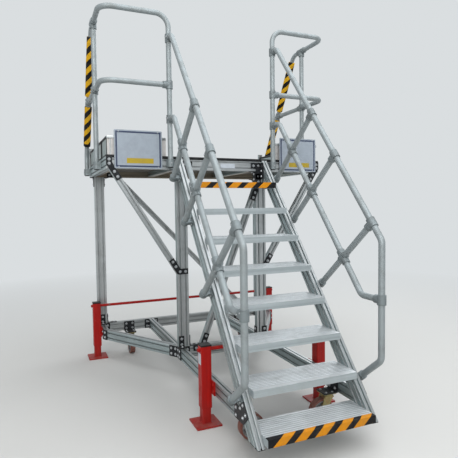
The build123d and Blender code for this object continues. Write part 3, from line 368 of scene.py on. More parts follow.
class Finish(Nodes):
    """Material with one Principled shader. Named values go to the shader's own sockets."""

    def __init__(self, name, **plain):
        self.material = bpy.data.materials.new(name)
        self.material.use_nodes = True
        super().__init__(self.material.node_tree)
        self.place = self.add("ShaderNodeTexCoord").outputs["Object"]
        self.shader = self.tree.nodes["Principled BSDF"]
        for label, value in plain.items():
            self.connect(value, self.shader.inputs[label.replace("_", " ")])

    def group(self, tree, **inputs):
        """Effect placed in this material."""
        inputs = {"Vector": self.place} | {label.replace("_", " "): value for label, value in inputs.items()}
        return self.add("ShaderNodeGroup", inputs, node_tree=tree).outputs

    def drawn(self, lines, stretch=0.02, vector=None):
        return self.group(DRAWN_GRAIN, Vector=vector or self.place, Lines_per_metre=lines, Stretch=stretch)

    def patches(self, size, amount=1.0):
        return self.group(HANDLING, Patch_size=size, Amount=amount)["Patches"]

    def dusted(self, tone, amount):
        return self.blend(self.group(SETTLED_DUST, Amount=amount)["Dust"], tone, DUST_COLOUR)

    def along(self, direction, mirrored=False):
        """Coordinates turned so that X runs along a member."""
        source = self.place
        if mirrored:
            parts = self.parts()
            values = {"X": self.maths("ABSOLUTE", parts["X"]), "Y": parts["Y"], "Z": parts["Z"]}
            source = self.add("ShaderNodeCombineXYZ", values).outputs[0]
        turn = Vector(direction).to_track_quat("X", "Z").inverted().to_euler()
        return self.add("ShaderNodeMapping", {"Vector": source, "Rotation": turn}).outputs[0]

    def complete(self, tone, rough, height, strength, distance):
        """Material with its colour, its roughness and the relief of a height."""
        relief = self.add("ShaderNodeBump", {"Height": height, "Strength": strength, "Distance": distance})
        values = {"Base Color": tone, "Roughness": rough, "Normal": relief.outputs["Normal"]}
        for label, value in values.items():
            self.connect(value, self.shader.inputs[label])
        return self.material


# Finishes

def anodised(name, direction, mirrored=False, floor_bounce_below=False):
    """Satin anodised profile, drawn along a direction, with a painted cool reflection on its flanks, and,
    when asked, a painted brown floor bounce on faces that look down or forward.
    """
    finish = Finish(name, Metallic=0.92)
    grain = finish.drawn(620.0, 0.01, finish.along(direction, mirrored))
    worn = finish.patches(0.16, 0.8)
    facing = finish.facing()
    tone = finish.blend(grain["Bands"], (0.285, 0.30, 0.305), (0.46, 0.48, 0.485))
    # Painted reflection: faces that look sideways are tinted a cooler teal, as reflected light on the flanks.
    painted_flank_reflection = finish.spread(finish.maths("ABSOLUTE", facing["X"]), 0.55, 0.90, 0.0, 0.75)
    tone = finish.blend(painted_flank_reflection, tone, (0.26, 0.36, 0.37))
    tone = finish.blend(finish.times(grain["Lines"], 0.35), tone, (0.64, 0.67, 0.68))
    tone = finish.blend(finish.times(worn, 0.6), tone, (0.235, 0.245, 0.24))
    if floor_bounce_below:
        # Painted floor bounce: faces that look down or forward take a warm brown tone, as light reflected
        # from the tan floor.
        painted_floor_bounce = finish.blend(grain["Bands"], (0.20, 0.165, 0.125), (0.31, 0.265, 0.205))
        below = finish.spread(finish.maths("MINIMUM", facing["Y"], facing["Z"]), -0.3, -0.7)
        tone = finish.blend(below, tone, painted_floor_bounce)
    rough = finish.spread(finish.maths("ADD", worn, grain["Lines"]), 0.2, 1.4, 0.34, 0.56)
    return finish.complete(finish.dusted(tone, 0.25), rough, grain["Lines"], 0.10, 0.0004)


def tread_aluminium():
    """Mill-finished treads with a painted top light that makes faces looking up paler, streaked where boots
    land, and darker on their groove floors.
    """
    finish = Finish("mill_treads", Metallic=0.42)
    grain = finish.drawn(480.0)
    worn = finish.patches(0.10)
    upward = finish.spread(finish.facing()["Z"], 0.6, 0.95)
    tone = finish.blend(grain["Bands"], (0.33, 0.375, 0.39), (0.44, 0.485, 0.50))
    # Painted top light: faces that look up are blended towards a pale tone, varied by the grain lines.
    painted_top_light = finish.blend(grain["Lines"], (0.56, 0.585, 0.60), (0.86, 0.88, 0.90))
    tone = finish.blend(finish.times(upward, 0.9), tone, painted_top_light)
    height = finish.maths("ADD", finish.parts()["Z"], 0.0005)
    level = finish.maths("FRACT", finish.maths("DIVIDE", height, RISER))
    # The groove floors just below each tread top are made darker.
    grooves = finish.times(finish.maths("GREATER_THAN", level, 0.98), upward)
    tone = finish.blend(finish.times(grooves, 0.5), tone, (0.34, 0.355, 0.36))
    marks = finish.spread(finish.noise(2.2, 6.0, finish.stretched(3.0, 14.0, 14.0), 0.7), 0.52, 0.72)
    marks = finish.times(marks, upward, 0.6)
    tone = finish.blend(marks, tone, (0.30, 0.305, 0.30))
    tone = finish.blend(finish.times(worn, 0.25), tone, (0.30, 0.32, 0.32))
    rough = finish.spread(finish.maths("ADD", marks, worn), 0.0, 1.2, 0.40, 0.62)
    return finish.complete(tone, rough, grain["Lines"], 0.08, 0.0006)


def plank_aluminium():
    """Mill-finished deck planks, with a painted brown floor bounce and shade on faces that look down."""
    finish = Finish("mill_planks", Metallic=0.35)
    grain = finish.drawn(400.0)
    worn = finish.patches(0.2)
    # Painted floor bounce and shade: faces that look down take a dark brown tone.
    below = finish.blend(grain["Bands"], (0.085, 0.066, 0.048), (0.15, 0.118, 0.085))
    above = finish.blend(grain["Bands"], (0.37, 0.385, 0.385), (0.52, 0.535, 0.535))
    above = finish.blend(finish.times(worn, 0.4), above, (0.21, 0.205, 0.19))
    tone = finish.blend(finish.spread(finish.facing()["Z"], -0.2, 0.3), below, above)
    return finish.complete(tone, finish.spread(worn, 0.0, 1.0, 0.42, 0.62), grain["Lines"], 0.15, 0.0005)


def jack_paint():
    """Red paint over grey primer, knocked and dusty near the floor."""
    finish = Finish("red_paint", Specular_IOR_Level=0.22, Coat_Weight=0.04, Coat_Roughness=0.3)
    chips = finish.group(CHIPPED_PAINT, Chip_size=0.012, Share=0.55)["Chips"]
    worn = finish.patches(0.07)
    streaks = finish.spread(finish.noise(1.0, 4.0, finish.stretched(60.0, 60.0, 2.5)), 0.35, 0.7)
    tone = finish.blend(streaks, (0.30, 0.0040, 0.0028), (0.41, 0.008, 0.0045))
    tone = finish.blend(finish.times(worn, 0.5), tone, (0.28, 0.007, 0.006))
    low = finish.spread(finish.parts()["Z"], 0.16, 0.0)
    soil = finish.maths("MULTIPLY", low, finish.noise(24.0, 6.0), clamp=True)
    tone = finish.blend(finish.times(soil, 0.6), tone, (0.13, 0.030, 0.024))
    tone = finish.blend(chips, tone, (0.13, 0.10, 0.09))
    rough = finish.spread(finish.maths("ADD", soil, worn), 0.0, 1.2, 0.36, 0.68)
    relief = finish.maths("SUBTRACT", 1.0, chips)
    return finish.complete(finish.dusted(tone, 0.22), rough, relief, 0.35, 0.0004)


def yellow_zinc():
    """Yellow-passivated zinc, shifting from straw to green and orange."""
    finish = Finish("yellow_zinc", Metallic=0.85)
    drift = finish.spread(finish.noise(16.0, 3.0), 0.3, 0.7)
    tone = finish.blend(drift, (0.26, 0.26, 0.125), (0.40, 0.31, 0.14))
    tone = finish.blend(finish.spread(finish.noise(27.0, 2.0), 0.5, 0.75), tone, (0.40, 0.20, 0.08))
    dirt = finish.patches(0.03, 0.8)
    tone = finish.blend(dirt, tone, (0.16, 0.14, 0.10))
    rough = finish.spread(dirt, 0.0, 0.8, 0.34, 0.60)
    return finish.complete(tone, rough, finish.noise(600.0, 3.0), 0.12, 0.0003)


def kick_panel():
    """Grey sheet with upright streaks, and a painted front light that makes faces looking forward paler."""
    finish = Finish("grey_panel", Metallic=0.25)
    streaks = finish.spread(finish.noise(1.0, 5.0, finish.stretched(30.0, 30.0, 3.0)), 0.35, 0.7)
    worn = finish.patches(0.08, 0.9)
    tone = finish.blend(streaks, (0.27, 0.325, 0.32), (0.35, 0.41, 0.405))
    # Painted front light: faces that look forward are blended to a pale warm tone.
    tone = finish.blend(finish.spread(finish.facing()["Y"], -0.5, -0.8), tone, (0.58, 0.555, 0.54))
    tone = finish.blend(finish.times(worn, 0.5), tone, (0.21, 0.225, 0.215))
    rough = finish.spread(worn, 0.0, 1.0, 0.36, 0.56)
    return finish.complete(tone, rough, finish.noise(300.0, 3.0), 0.08, 0.0003)


def banded(finish, bands, grain, black, bright, fading, rough, strength, distance):
    """Black surface with bands of a bright colour, each a clean and a worn tone."""
    worn = finish.patches(0.05)
    grit = finish.noise(grain, 4.0)
    tone = finish.blend(bands, finish.blend(worn, *black), finish.blend(finish.times(worn, fading), *bright))
    return finish.complete(tone, finish.spread(grit, *GRAIN_SPAN, *rough), grit, strength, distance)


def striped_nosing():
    """Black rubber nosing with orange-yellow stripes that lean and fold over its edge."""
    finish = Finish("striped_nosing", Specular_IOR_Level=0.2)
    parts = finish.parts()
    step = finish.maths("ROUND", finish.maths("DIVIDE", parts["Z"], RISER))
    climbed = finish.times(finish.maths("SUBTRACT", step, 1.0), RISER + GOING)
    lower_edge = STAIR_START + RISER - TREAD_NOSE
    over = finish.maths("SUBTRACT", finish.maths("ADD", parts["Y"], parts["Z"]), climbed, lower_edge)
    run = finish.maths("SUBTRACT", parts["X"], finish.times(over, STRIPE_LEAN), STRIPE_START)
    bands = finish.group(WARNING_BANDS, Run=run, Period=STRIPE_PITCH, Share=0.57)["Bands"]
    bands = finish.times(bands, finish.maths("GREATER_THAN", run, 0.0),
                         finish.maths("LESS_THAN", run, STRIPE_PITCH * STRIPE_COUNT))
    return banded(finish, bands, 420.0, ((0.006, 0.006, 0.007), (0.026, 0.025, 0.023)),
                  ((0.62, 0.235, 0.005), (0.40, 0.175, 0.025)), 0.7, (0.56, 0.78), 0.25, 0.0006)


def striped_foam(middle, direction, tube_length):
    """Black foam wound with yellow bands, two periods to a turn. The sleeves' lower ends stay black."""
    finish = Finish("striped_foam", Specular_IOR_Level=0.15)
    parts = finish.parts()
    centre = finish.add("ShaderNodeCombineXYZ", {"X": 0.0, "Y": parts["Y"], "Z": parts["Z"]}).outputs[0]
    shifted = finish.add("ShaderNodeVectorMath", {0: centre, 1: (0.0, middle.y, middle.z)},
                         operation="SUBTRACT").outputs[0]
    length, off = (finish.add("ShaderNodeVectorMath", {0: shifted, 1: line},
                              operation="DOT_PRODUCT").outputs["Value"]
                   for line in (direction, direction.cross(RIGHT)))
    way = finish.maths("SIGN", parts["X"])
    side = finish.times(finish.maths("SUBTRACT", finish.maths("ABSOLUTE", parts["X"]), GUARD_X), way)
    wound = finish.times(finish.maths("ARCTAN2", off, side), PAD_BAND_PERIOD / math.pi)
    run = finish.maths("SUBTRACT", length, wound)
    bands = finish.group(WARNING_BANDS, Run=run, Period=PAD_BAND_PERIOD, Share=0.5)["Bands"]
    left_end, right_end = (tube_length - tail - PAD_DARK_END for tail in PAD_TAILS.values())
    end = finish.maths("ADD", finish.times(way, (right_end - left_end) / 2), (left_end + right_end) / 2)
    bands = finish.times(bands, finish.maths("LESS_THAN", length, end))
    return banded(finish, bands, 650.0, ((0.007, 0.007, 0.007), (0.026, 0.024, 0.022)),
                  ((0.66, 0.36, 0.012), (0.40, 0.23, 0.03)), 0.6, (0.66, 0.9), 0.45, 0.0009)


def worn_finish(name, grain, patch, tones, rough, relief, by="Patches", marks=None, dust=0.0, **plain):
    """Surface of two tones under marks and dust. Masks are Grain, and Patches and Specks of handling."""
    finish = Finish(name, **plain)
    handled = finish.group(HANDLING, Patch_size=patch, Amount=1.0)
    masks = {"Grain": finish.noise(*grain), "Patches": handled["Patches"], "Specks": handled["Specks"]}
    tone = finish.blend(masks[by], *tones)
    if marks:
        mask, share, third = marks
        tone = finish.blend(finish.times(masks[mask], share), tone, third)
    if dust:
        tone = finish.dusted(tone, dust)
    mask, smooth, coarse = rough
    span = GRAIN_SPAN if mask == "Grain" else (0.0, 1.0)
    return finish.complete(tone, finish.spread(masks[mask], *span, smooth, coarse), masks["Grain"], *relief)


def sheet(name, tint, faded, roughness=0.38):
    """Printed or painted sheet, a little faded and smudged."""
    return worn_finish(name, (260.0, 3.0), 0.07, (tint, faded), ("Patches", roughness, roughness + 0.18),
                       (0.05, 0.0003))


diagonal = Vector((REAR_LEG_X - STAIR_OUTER, SIDE_RAIL_FRONT_Y - DIAGONAL_FRONT_Y, 0)).normalized()
wing = Vector((DECK_HALF_WIDTH - WING_BRACE_TOP_INSET - STAIR_OUTER, 0, WING_BRACE_DROP)).normalized()
ALONG_X = anodised("anodised_across", RIGHT)
ALONG_Z = anodised("anodised_upright", UP)
TUBE = worn_finish("satin_tube", (260.0, 2.0), 0.09, ((0.315, 0.35, 0.36), (0.255, 0.275, 0.275)),
                   ("Patches", 0.52, 0.66), (0.03, 0.0003), marks=("Specks", 0.12, (0.20, 0.215, 0.21)),
                   Metallic=0.6)
CASTING = worn_finish("cast_fittings", (700.0, 4.0), 0.05, ((0.245, 0.28, 0.29), (0.165, 0.18, 0.18)),
                      ("Grain", 0.44, 0.66), (0.35, 0.0008), marks=("Grain", 0.3, (0.10, 0.105, 0.105)),
                      Metallic=0.6)
POWDER = worn_finish("black_powder_coat", (520.0, 2.0), 0.03, ((0.008, 0.009, 0.011), (0.030, 0.032, 0.035)),
                     ("Patches", 0.36, 0.58), (0.18, 0.0004), dust=0.2, Specular_IOR_Level=0.25)
PLASTIC = worn_finish("black_plastic", (650.0, 3.0), 0.04, ((0.007, 0.007, 0.008), (0.028, 0.028, 0.028)),
                      ("Grain", 0.42, 0.62), (0.2, 0.0004), dust=0.08, Specular_IOR_Level=0.22)
RUBBER = worn_finish("black_rubber", (380.0, 5.0), 0.08, ((0.016, 0.016, 0.016), (0.055, 0.053, 0.050)),
                     ("Grain", 0.70, 0.92), (0.3, 0.0007), dust=0.9)
ZINC = worn_finish("bright_zinc", (1400.0, 2.0), 0.012, ((0.50, 0.52, 0.54), (0.33, 0.335, 0.33)),
                   ("Patches", 0.34, 0.50), (0.06, 0.0002), Metallic=0.95)
GREY_CASTING = worn_finish("grey_casting", (520.0, 4.0), 0.025, ((0.22, 0.225, 0.23), (0.31, 0.31, 0.315)),
                           ("Grain", 0.48, 0.68), (0.3, 0.0006), by="Grain",
                           marks=("Patches", 1.0, (0.10, 0.09, 0.08)), Metallic=0.45)
WHEEL_TREAD = worn_finish("red_brown_tread", (300.0, 5.0), 0.03, ((0.15, 0.045, 0.032), (0.22, 0.080, 0.058)),
                          ("Grain", 0.58, 0.82), (0.35, 0.0007), by="Grain",
                          marks=("Patches", 0.6, (0.26, 0.20, 0.155)))
TREAD = tread_aluminium()
PLANK = plank_aluminium()
RED = jack_paint()
YELLOW_ZINC = yellow_zinc()
LABEL = sheet("blank_label", (0.50, 0.54, 0.59), (0.42, 0.45, 0.49), 0.42)


def each(stem, ends=CORNERS):
    """Names of a piece's nodes at each corner, or at each side."""
    return [f"{stem}_{end}" for end in ends]


LEFT_RIGHT = ("left", "right")
RAIL_STEMS = ("guard_rail", "guard_mid", "handrail", "handrail_mid")
RAILS = [name for stem in RAIL_STEMS for name in each(stem, LEFT_RIGHT)]
FINISHES = (
    (anodised("anodised_along_stair", UP_SLOPE), each("stringer", LEFT_RIGHT)),
    (ALONG_X, ["deck_beam_front", "base_rail_rear", "base_rail_cross"]),
    # The rear beam and the joists carry the painted brown floor bounce.
    (anodised("anodised_under_deck", RIGHT, floor_bounce_below=True), ["deck_beam_rear"]),
    (anodised("anodised_joists", BACK, floor_bounce_below=True), ["deck_joists"]),
    (anodised("anodised_lengthways", BACK),
     each("base_rail", LEFT_RIGHT) + ["base_side_rails", "deck_beams_side"]),
    (ALONG_Z, ["legs_front", "legs_rear", "diagonal_braces", "end_posts"]),
    (anodised("anodised_base_diagonal", diagonal, mirrored=True), ["base_diagonals"]),
    (anodised("anodised_wing_brace", wing, mirrored=True), ["wing_braces"]),
    (TUBE, RAILS + ["guard_posts", "pad_tubes", "handrail_struts"]),
    (CASTING, ["rail_clamps"]),
    (TREAD, ["treads"]),
    (PLANK, ["deck_planks"]),
    (POWDER, ["gussets", "castor_brackets"]),
    (PLASTIC, ["jack_caps", "edge_strips"]),
    (RUBBER, ["rear_buffer", "foam_pads"]),
    (RED, each("jack_leg") + ["jack_housings", "jack_shafts"]),
    (YELLOW_ZINC, each("castor_fork") + ["castor_plates"]),
    (GREY_CASTING, each("castor_rim")),
    (WHEEL_TREAD, each("castor_tyre")),
    (striped_nosing(), ["hazard_nosings"]),
    (kick_panel(), ["kick_boards"]),
)
for material, names in FINISHES:
    for name in names:
        nodes[name].data.materials.clear()
        nodes[name].data.materials.append(material)


# Softened edges on the fixed pieces

SOFT_EDGES = (
    (0.0012, each("stringer", LEFT_RIGHT) + each("base_rail", ("left", "right", "rear", "cross"))
     + each("deck_beam", ("front", "rear")) + each("legs", ("front", "rear"))
     + ["base_side_rails", "base_diagonals", "deck_beams_side", "deck_joists", "wing_braces",
        "diagonal_braces"]),
    (0.0010, ["gussets", "castor_brackets", "kick_boards", "jack_caps", "edge_strips", "end_posts",
              "castor_plates", "hazard_nosings"]),
    (0.0006, ["treads", "deck_planks"]),
    (0.0040, ["rear_buffer"]),
    (0.0014, each("jack_leg")),
)


def soften(node, width):
    """Joins a node's triangles for the render and rounds its sharp edges."""
    node.modifiers.new("joined", "WELD").merge_threshold = 0.00002
    bevel = node.modifiers.new("soft edges", "BEVEL")
    bevel.width = width
    bevel.segments = 2
    bevel.limit_method = "ANGLE"
    bevel.angle_limit = math.radians(35)
    bevel.harden_normals = False


for width, names in SOFT_EDGES:
    for name in names:
        soften(nodes[name], width)


# Mesh helpers

def shown(name, mesh, body, sharp=30.0):
    """Mesh put in the scene as a piece that rides on a body, its rounded faces shaded smooth."""
    mesh.shade_smooth()
    mesh.set_sharp_from_angle(angle=math.radians(sharp))
    piece = bpy.data.objects.new(name, mesh)
    bpy.context.scene.collection.objects.link(piece)
    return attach(piece, body)


def finished(name, bm, body, material, sharp=30.0):
    """Piece from its faces, with normals outwards."""
    bmesh.ops.remove_doubles(bm, verts=bm.verts, dist=0.000001)
    bmesh.ops.recalc_face_normals(bm, faces=bm.faces)
    mesh = bpy.data.meshes.new(name)
    bm.to_mesh(mesh)
    bm.free()
    mesh.materials.append(material)
    return shown(name, mesh, body, sharp)


def axis_place(centre, axis):
    """Placement that stands Z on an axis."""
    return Matrix.Translation(centre) @ Vector(axis).to_track_quat("Z", "Y").to_matrix().to_4x4()


def ring_of(bm, place, level, reach, segments):
    """Ring of vertices at a level, its radius a function of the angle."""
    ring = []
    for index in range(segments):
        angle = 2 * math.pi * index / segments
        radius = reach(angle)
        point = Vector((radius * math.cos(angle), radius * math.sin(angle), level))
        ring.append(bm.verts.new(place @ point))
    return ring


def bridge(bm, lower, upper):
    """Faces between two rings, either of which may be a single point."""
    count = max(len(lower), len(upper))
    for index in range(count):
        after = (index + 1) % count
        corners = (lower[index % len(lower)], lower[after % len(lower)],
                   upper[after % len(upper)], upper[index % len(upper)])
        bm.faces.new(list(dict.fromkeys(corners)))


def turned(bm, outline, centre, axis, segments):
    """Skin of an outline of radius and height pairs, turned about an axis."""
    place = axis_place(centre, axis)
    rings = [ring_of(bm, place, height, lambda angle: radius, segments if radius else 1)
             for radius, height in outline]
    for lower, upper in zip(rings, rings[1:]):
        bridge(bm, lower, upper)


def rounded_box(bm, first, second, radius):
    """Box between two corners with all its edges rounded."""
    low, high = (Vector(map(choose, first, second)) for choose in (min, max))
    made = bmesh.ops.create_cube(bm, size=1.0)["verts"]
    for vert in made:
        vert.co = (low + high) / 2 + vert.co * (high - low)
    edges = list({edge for vert in made for edge in vert.link_edges})
    bmesh.ops.bevel(bm, geom=edges, offset=radius, segments=2, profile=0.5, affect="EDGES")


def prism(bm, corners, depth):
    """Plate from its corners on one face and the vector of its thickness."""
    near = [bm.verts.new(Vector(corner)) for corner in corners]
    far = [bm.verts.new(Vector(corner) + Vector(depth)) for corner in corners]
    bm.faces.new(near)
    bm.faces.new(far[::-1])
    bridge(bm, near, far)


def round_corners(width, height, radius, steps=5):
    """Outline of a rectangle with round corners, about its middle."""
    points = []
    for corner, (across, up) in enumerate(((1, 1), (-1, 1), (-1, -1), (1, -1))):
        for step in range(steps + 1):
            angle = math.radians(90 * corner + 90 * step / steps)
            points.append((across * (width / 2 - radius) + radius * math.cos(angle),
                           up * (height / 2 - radius) + radius * math.sin(angle)))
    return points


# Repeated pieces, grown by Geometry Nodes

def geometry_tree(name, **sizes):
    """Geometry node group that reads its seats, a material and some sizes."""
    inputs = [("Geometry", "NodeSocketGeometry", None), ("Material", "NodeSocketMaterial", None)]
    inputs += [(label.replace("_", " "), "NodeSocketFloat", value) for label, value in sizes.items()]
    return node_group(name, "GeometryNodeTree", inputs, [("Geometry", "NodeSocketGeometry")])


def stand_on_seats(tree, given, result, single):
    """One small piece stood on every seat, then made real and given its material."""
    outward = tree.add("GeometryNodeInputNamedAttribute", {"Name": "outward"}, data_type="FLOAT_VECTOR")
    size = tree.add("GeometryNodeInputNamedAttribute", {"Name": "size"}, data_type="FLOAT")
    turn = tree.add("FunctionNodeAlignRotationToVector", {"Vector": outward.outputs[0]}, axis="Z")
    stood = tree.add("GeometryNodeInstanceOnPoints", {"Points": given["Geometry"], "Instance": single,
                                                      "Rotation": turn.outputs[0], "Scale": size.outputs[0]})
    real = tree.add("GeometryNodeRealizeInstances", {0: stood.outputs[0]})
    painted = tree.add("GeometryNodeSetMaterial", {"Geometry": real.outputs[0],
                                                   "Material": given["Material"]})
    tree.connect(painted.outputs[0], result["Geometry"])
    return tree.tree


def lifted(tree, part, height):
    """Part moved up its own axis."""
    offset = tree.add("ShaderNodeCombineXYZ", {"Z": height}).outputs[0]
    return tree.add("GeometryNodeTransform", {"Geometry": part, "Translation": offset}).outputs[0]


def socket_head(tree, vertices, radius, taper, height, key_radius, sink):
    """Tapered head with a hexagon socket cut into its top."""
    head = tree.add("GeometryNodeMeshCone", {"Vertices": vertices, "Radius Top": tree.times(radius, taper),
                                             "Radius Bottom": radius, "Depth": height})
    key = tree.add("GeometryNodeMeshCylinder", {"Vertices": 6, "Radius": key_radius, "Depth": height})
    key = lifted(tree, key.outputs["Mesh"], tree.times(height, sink))
    return tree.add("GeometryNodeMeshBoolean", {"Mesh 1": head.outputs["Mesh"], "Mesh 2": key},
                    operation="DIFFERENCE", solver="EXACT").outputs["Mesh"]


def make_bolt_tree():
    """Button-head bolt with a hexagon socket, on a washer."""
    tree, given, result = geometry_tree("bolt_on_washer", Head_radius=0.0085, Head_height=0.0052,
                                        Washer_radius=0.0112, Washer_thickness=0.0016, Key_radius=0.0034)
    thickness = given["Washer thickness"]
    washer = tree.add("GeometryNodeMeshCylinder", {"Vertices": 20, "Radius": given["Washer radius"],
                                                   "Depth": thickness}).outputs["Mesh"]
    head = socket_head(tree, 20, given["Head radius"], 0.66, given["Head height"], given["Key radius"], 0.45)
    joined = tree.add("GeometryNodeJoinGeometry")
    tree.connect(lifted(tree, washer, tree.times(thickness, 0.5)), joined.inputs[0])
    tree.connect(lifted(tree, head, thickness), joined.inputs[0])
    return stand_on_seats(tree, given, result, joined.outputs[0])


def make_screw_tree():
    """Small grub screw that stands just proud of a fitting."""
    tree, given, result = geometry_tree("grub_screw", Screw_radius=0.0046, Screw_height=0.0030,
                                        Key_radius=0.0024)
    head = socket_head(tree, 12, given["Screw radius"], 0.86, given["Screw height"], given["Key radius"], 0.7)
    return stand_on_seats(tree, given, result, head)


def make_rib_tree():
    """Straight rib of trapezoid section along X, repeated at its seats."""
    tree, given, result = geometry_tree("tread_rib", Length=0.69, Foot_width=0.003, Top_width=0.0016,
                                        Height=0.0012)
    first, last = (tree.add("ShaderNodeCombineXYZ", {"X": tree.times(given["Length"], share)}).outputs[0]
                   for share in (-0.5, 0.5))
    line = tree.add("GeometryNodeCurvePrimitiveLine", {"Start": first, "End": last}).outputs[0]
    section = tree.add("GeometryNodeCurvePrimitiveQuadrilateral", {
        "Bottom Width": given["Foot width"], "Top Width": given["Top width"], "Offset": 0.0,
        "Height": tree.times(given["Height"], 2.0)}, mode="TRAPEZOID").outputs[0]
    rib = tree.add("GeometryNodeCurveToMesh", {"Curve": line, "Profile Curve": section, "Fill Caps": True})
    return stand_on_seats(tree, given, result, rib.outputs[0])


def grown(name, tree, seats, body, material, **sizes):
    """Piece that a tree grows on seats, each a point, an outward direction and a size."""
    points = bpy.data.meshes.new(name + "_seats")
    points.from_pydata([tuple(seat[0]) for seat in seats], [], [])
    points.attributes.new("outward", "FLOAT_VECTOR", "POINT")
    points.attributes.new("size", "FLOAT", "POINT")
    for index, (_, direction, scale) in enumerate(seats):
        points.attributes["outward"].data[index].vector = Vector(direction).normalized()
        points.attributes["size"].data[index].value = scale
    holder = bpy.data.objects.new(name + "_holder", points)
    bpy.context.scene.collection.objects.link(holder)
    modifier = holder.modifiers.new("grow", "NODES")
    modifier.node_group = tree
    sockets = {item.name: item.identifier for item in tree.interface.items_tree if item.in_out == "INPUT"}
    for label, value in {"Material": material, **sizes}.items():
        modifier[sockets[label.replace("_", " ")]] = value
    bpy.context.view_layer.update()
    mesh = bpy.data.meshes.new_from_object(holder.evaluated_get(bpy.context.evaluated_depsgraph_get()))
    mesh.name = name
    bpy.data.objects.remove(holder)
    return shown(name, mesh, body)


BOLT = make_bolt_tree()
SCREW = make_screw_tree()
RIB = make_rib_tree()


# Bolt seats on the joining plates

def bolt_places(length):
    """Bolt centres along a plate, one in each module, measured from its inner end."""
    count = max(1, round(length / PROFILE))
    return [length - PROFILE * (count - index - 0.5) for index in range(count)]


def bracket_seats(corner, first, second, width, first_leg=PROFILE, second_leg=PROFILE, wraps=1):
    """Seats on both legs of a bracket in a corner between two faces, or round one if wraps is -1."""
    corner, first, second, width = (Vector(item) for item in (corner, first, second, width))
    first, second = first.normalized(), second.normalized()
    cosine = first.dot(second)
    sine = math.sqrt(1 - cosine ** 2)
    seats = []
    for leg, run, other in ((first_leg, first, second), (second_leg, second, first)):
        off = (other - run * cosine) / sine * wraps
        for along in bolt_places(leg):
            for across in bolt_places(width.length):
                seats.append((corner + run * along + width.normalized() * across + off * GUSSET, off, 1.0))
    return seats


def strap_seats(face_y, *corners):
    """Seats on the arms of a strap on a face that looks forward, from the X and Z of its corners."""
    start, knee, end = [Vector((corner[0], face_y - GUSSET, corner[2])) for corner in corners]
    seats = []
    for tip in (start, end):
        run = knee - tip
        for along in (PROFILE / 2, PROFILE * 1.5):
            if along < run.length or tip == start and run.length > PROFILE:
                seats.append((tip + run.normalized() * min(along, run.length), FORWARD, 1.0))
    return seats


def leg_bracket_seats(side):
    seats = []
    deep = (0, PROFILE, 0)
    inwards, outwards = (-side, 0, 0), (side, 0, 0)
    rail_x = STAIR_INNER + PROFILE / 2
    for x, distance, below in ((LEG_X, FRONT_PLANE, rail_x), (REAR_LEG_X, REAR_FACE, REAR_LEG_X)):
        inner, outer = (side * (x + way * PROFILE_TALL / 2) for way in (-1, 1))
        y = at_y(distance)
        reach = min(PROFILE, DECK_HALF_WIDTH - abs(outer))
        seats += bracket_seats((inner, y, BASE_TOP), inwards, UP, deep, BRACKET_LEG, BRACKET_LEG)
        seats += bracket_seats((inner, y, BEAM_BOTTOM), inwards, -UP, deep, PROFILE, BRACKET_LEG)
        seats += bracket_seats((outer, y, BEAM_BOTTOM), outwards, -UP, deep, reach, BRACKET_LEG)
        corner = (side * (below - PROFILE / 2), y, BASE_TOP)
        seats += bracket_seats(corner, FORWARD, UP, (side * PROFILE, 0, 0), PROFILE, BRACKET_LEG)
    return seats


def rail_bracket_seats(side):
    tall = (0, 0, PROFILE_TALL)
    inwards, outwards = (-side, 0, 0), (side, 0, 0)
    inner, outer, side_inner = (side * x for x in (STAIR_INNER, STAIR_OUTER, REAR_LEG_X - PROFILE / 2))
    seats = []
    for x, distance, first, second in (
            (outer, REAR_FACE, outwards, FORWARD), (inner, REAR_FACE, inwards, FORWARD),
            (inner, FRONT_PLANE, inwards, FORWARD), (inner, FRONT_PLANE + PROFILE, inwards, BACK),
            (side_inner, REAR_FACE, inwards, FORWARD)):
        seats += bracket_seats((x, at_y(distance), BASE_BOTTOM), first, second, tall)

    start = Vector((outer, at_y(DIAGONAL_FRONT_Y), BASE_BOTTOM))
    knee = Vector((side * REAR_LEG_X, at_y(SIDE_RAIL_FRONT_Y), BASE_BOTTOM))
    along = (knee - start).normalized()
    out = Vector((side * along.y, -side * along.x, 0))
    edge = start + out * (PROFILE / 2)
    front_corner = edge - along * (edge.x - outer) / along.x
    seats += bracket_seats(front_corner, FORWARD, along, tall, BRACKET_LEG, BRACKET_LEG)
    outer_knee = knee + (out + RIGHT * side) * (PROFILE / 2 / (1 + out.x * side))
    return seats + bracket_seats(outer_knee, -along, BACK, tall, wraps=-1)


def stringer_plate_seats(side):
    """Seats on the plates that join a stringer to its base rail and to the deck's front beam."""
    outwards = RIGHT * side
    outer = side * (STAIR_OUTER + GUSSET)
    edge = Vector((outer, at_y(STRINGER_SETBACK), FIRST_TREAD_TOP))
    rear = at_y(STRINGER_SETBACK + PROFILE_TALL / math.sin(SLOPE) + FOOT_BOLTS_REAR)
    front = at_y(FRONT_PLANE) - GUSSET
    inner = side * STAIR_INNER
    seats = [(edge + UP_SLOPE * along + INTO_SLOPE * inset, outwards, 1.0)
             for along in FOOT_BOLTS_ALONG for inset in (PROFILE / 2, PROFILE * 1.5)]
    seats += [((outer, rear, z), outwards, 1.0) for z in (BASE_BOTTOM + PROFILE / 2, BASE_TOP - PROFILE / 2)]
    seats += [((inner - side * inset, front, z), FORWARD, 1.0)
              for inset, z in ((PROFILE / 2, (BEAM_BOTTOM + DECK_TOP) / 2),
                               (PROFILE * 1.5, (BEAM_BOTTOM + DECK_TOP) / 2),
                               (PROFILE / 2, BEAM_BOTTOM - PROFILE))]
    seats += [((inner - side * GUSSET, front - PROFILE / 2, z), -outwards, 1.0)
              for z in (BEAM_BOTTOM, BEAM_BOTTOM - PROFILE)]
    return seats


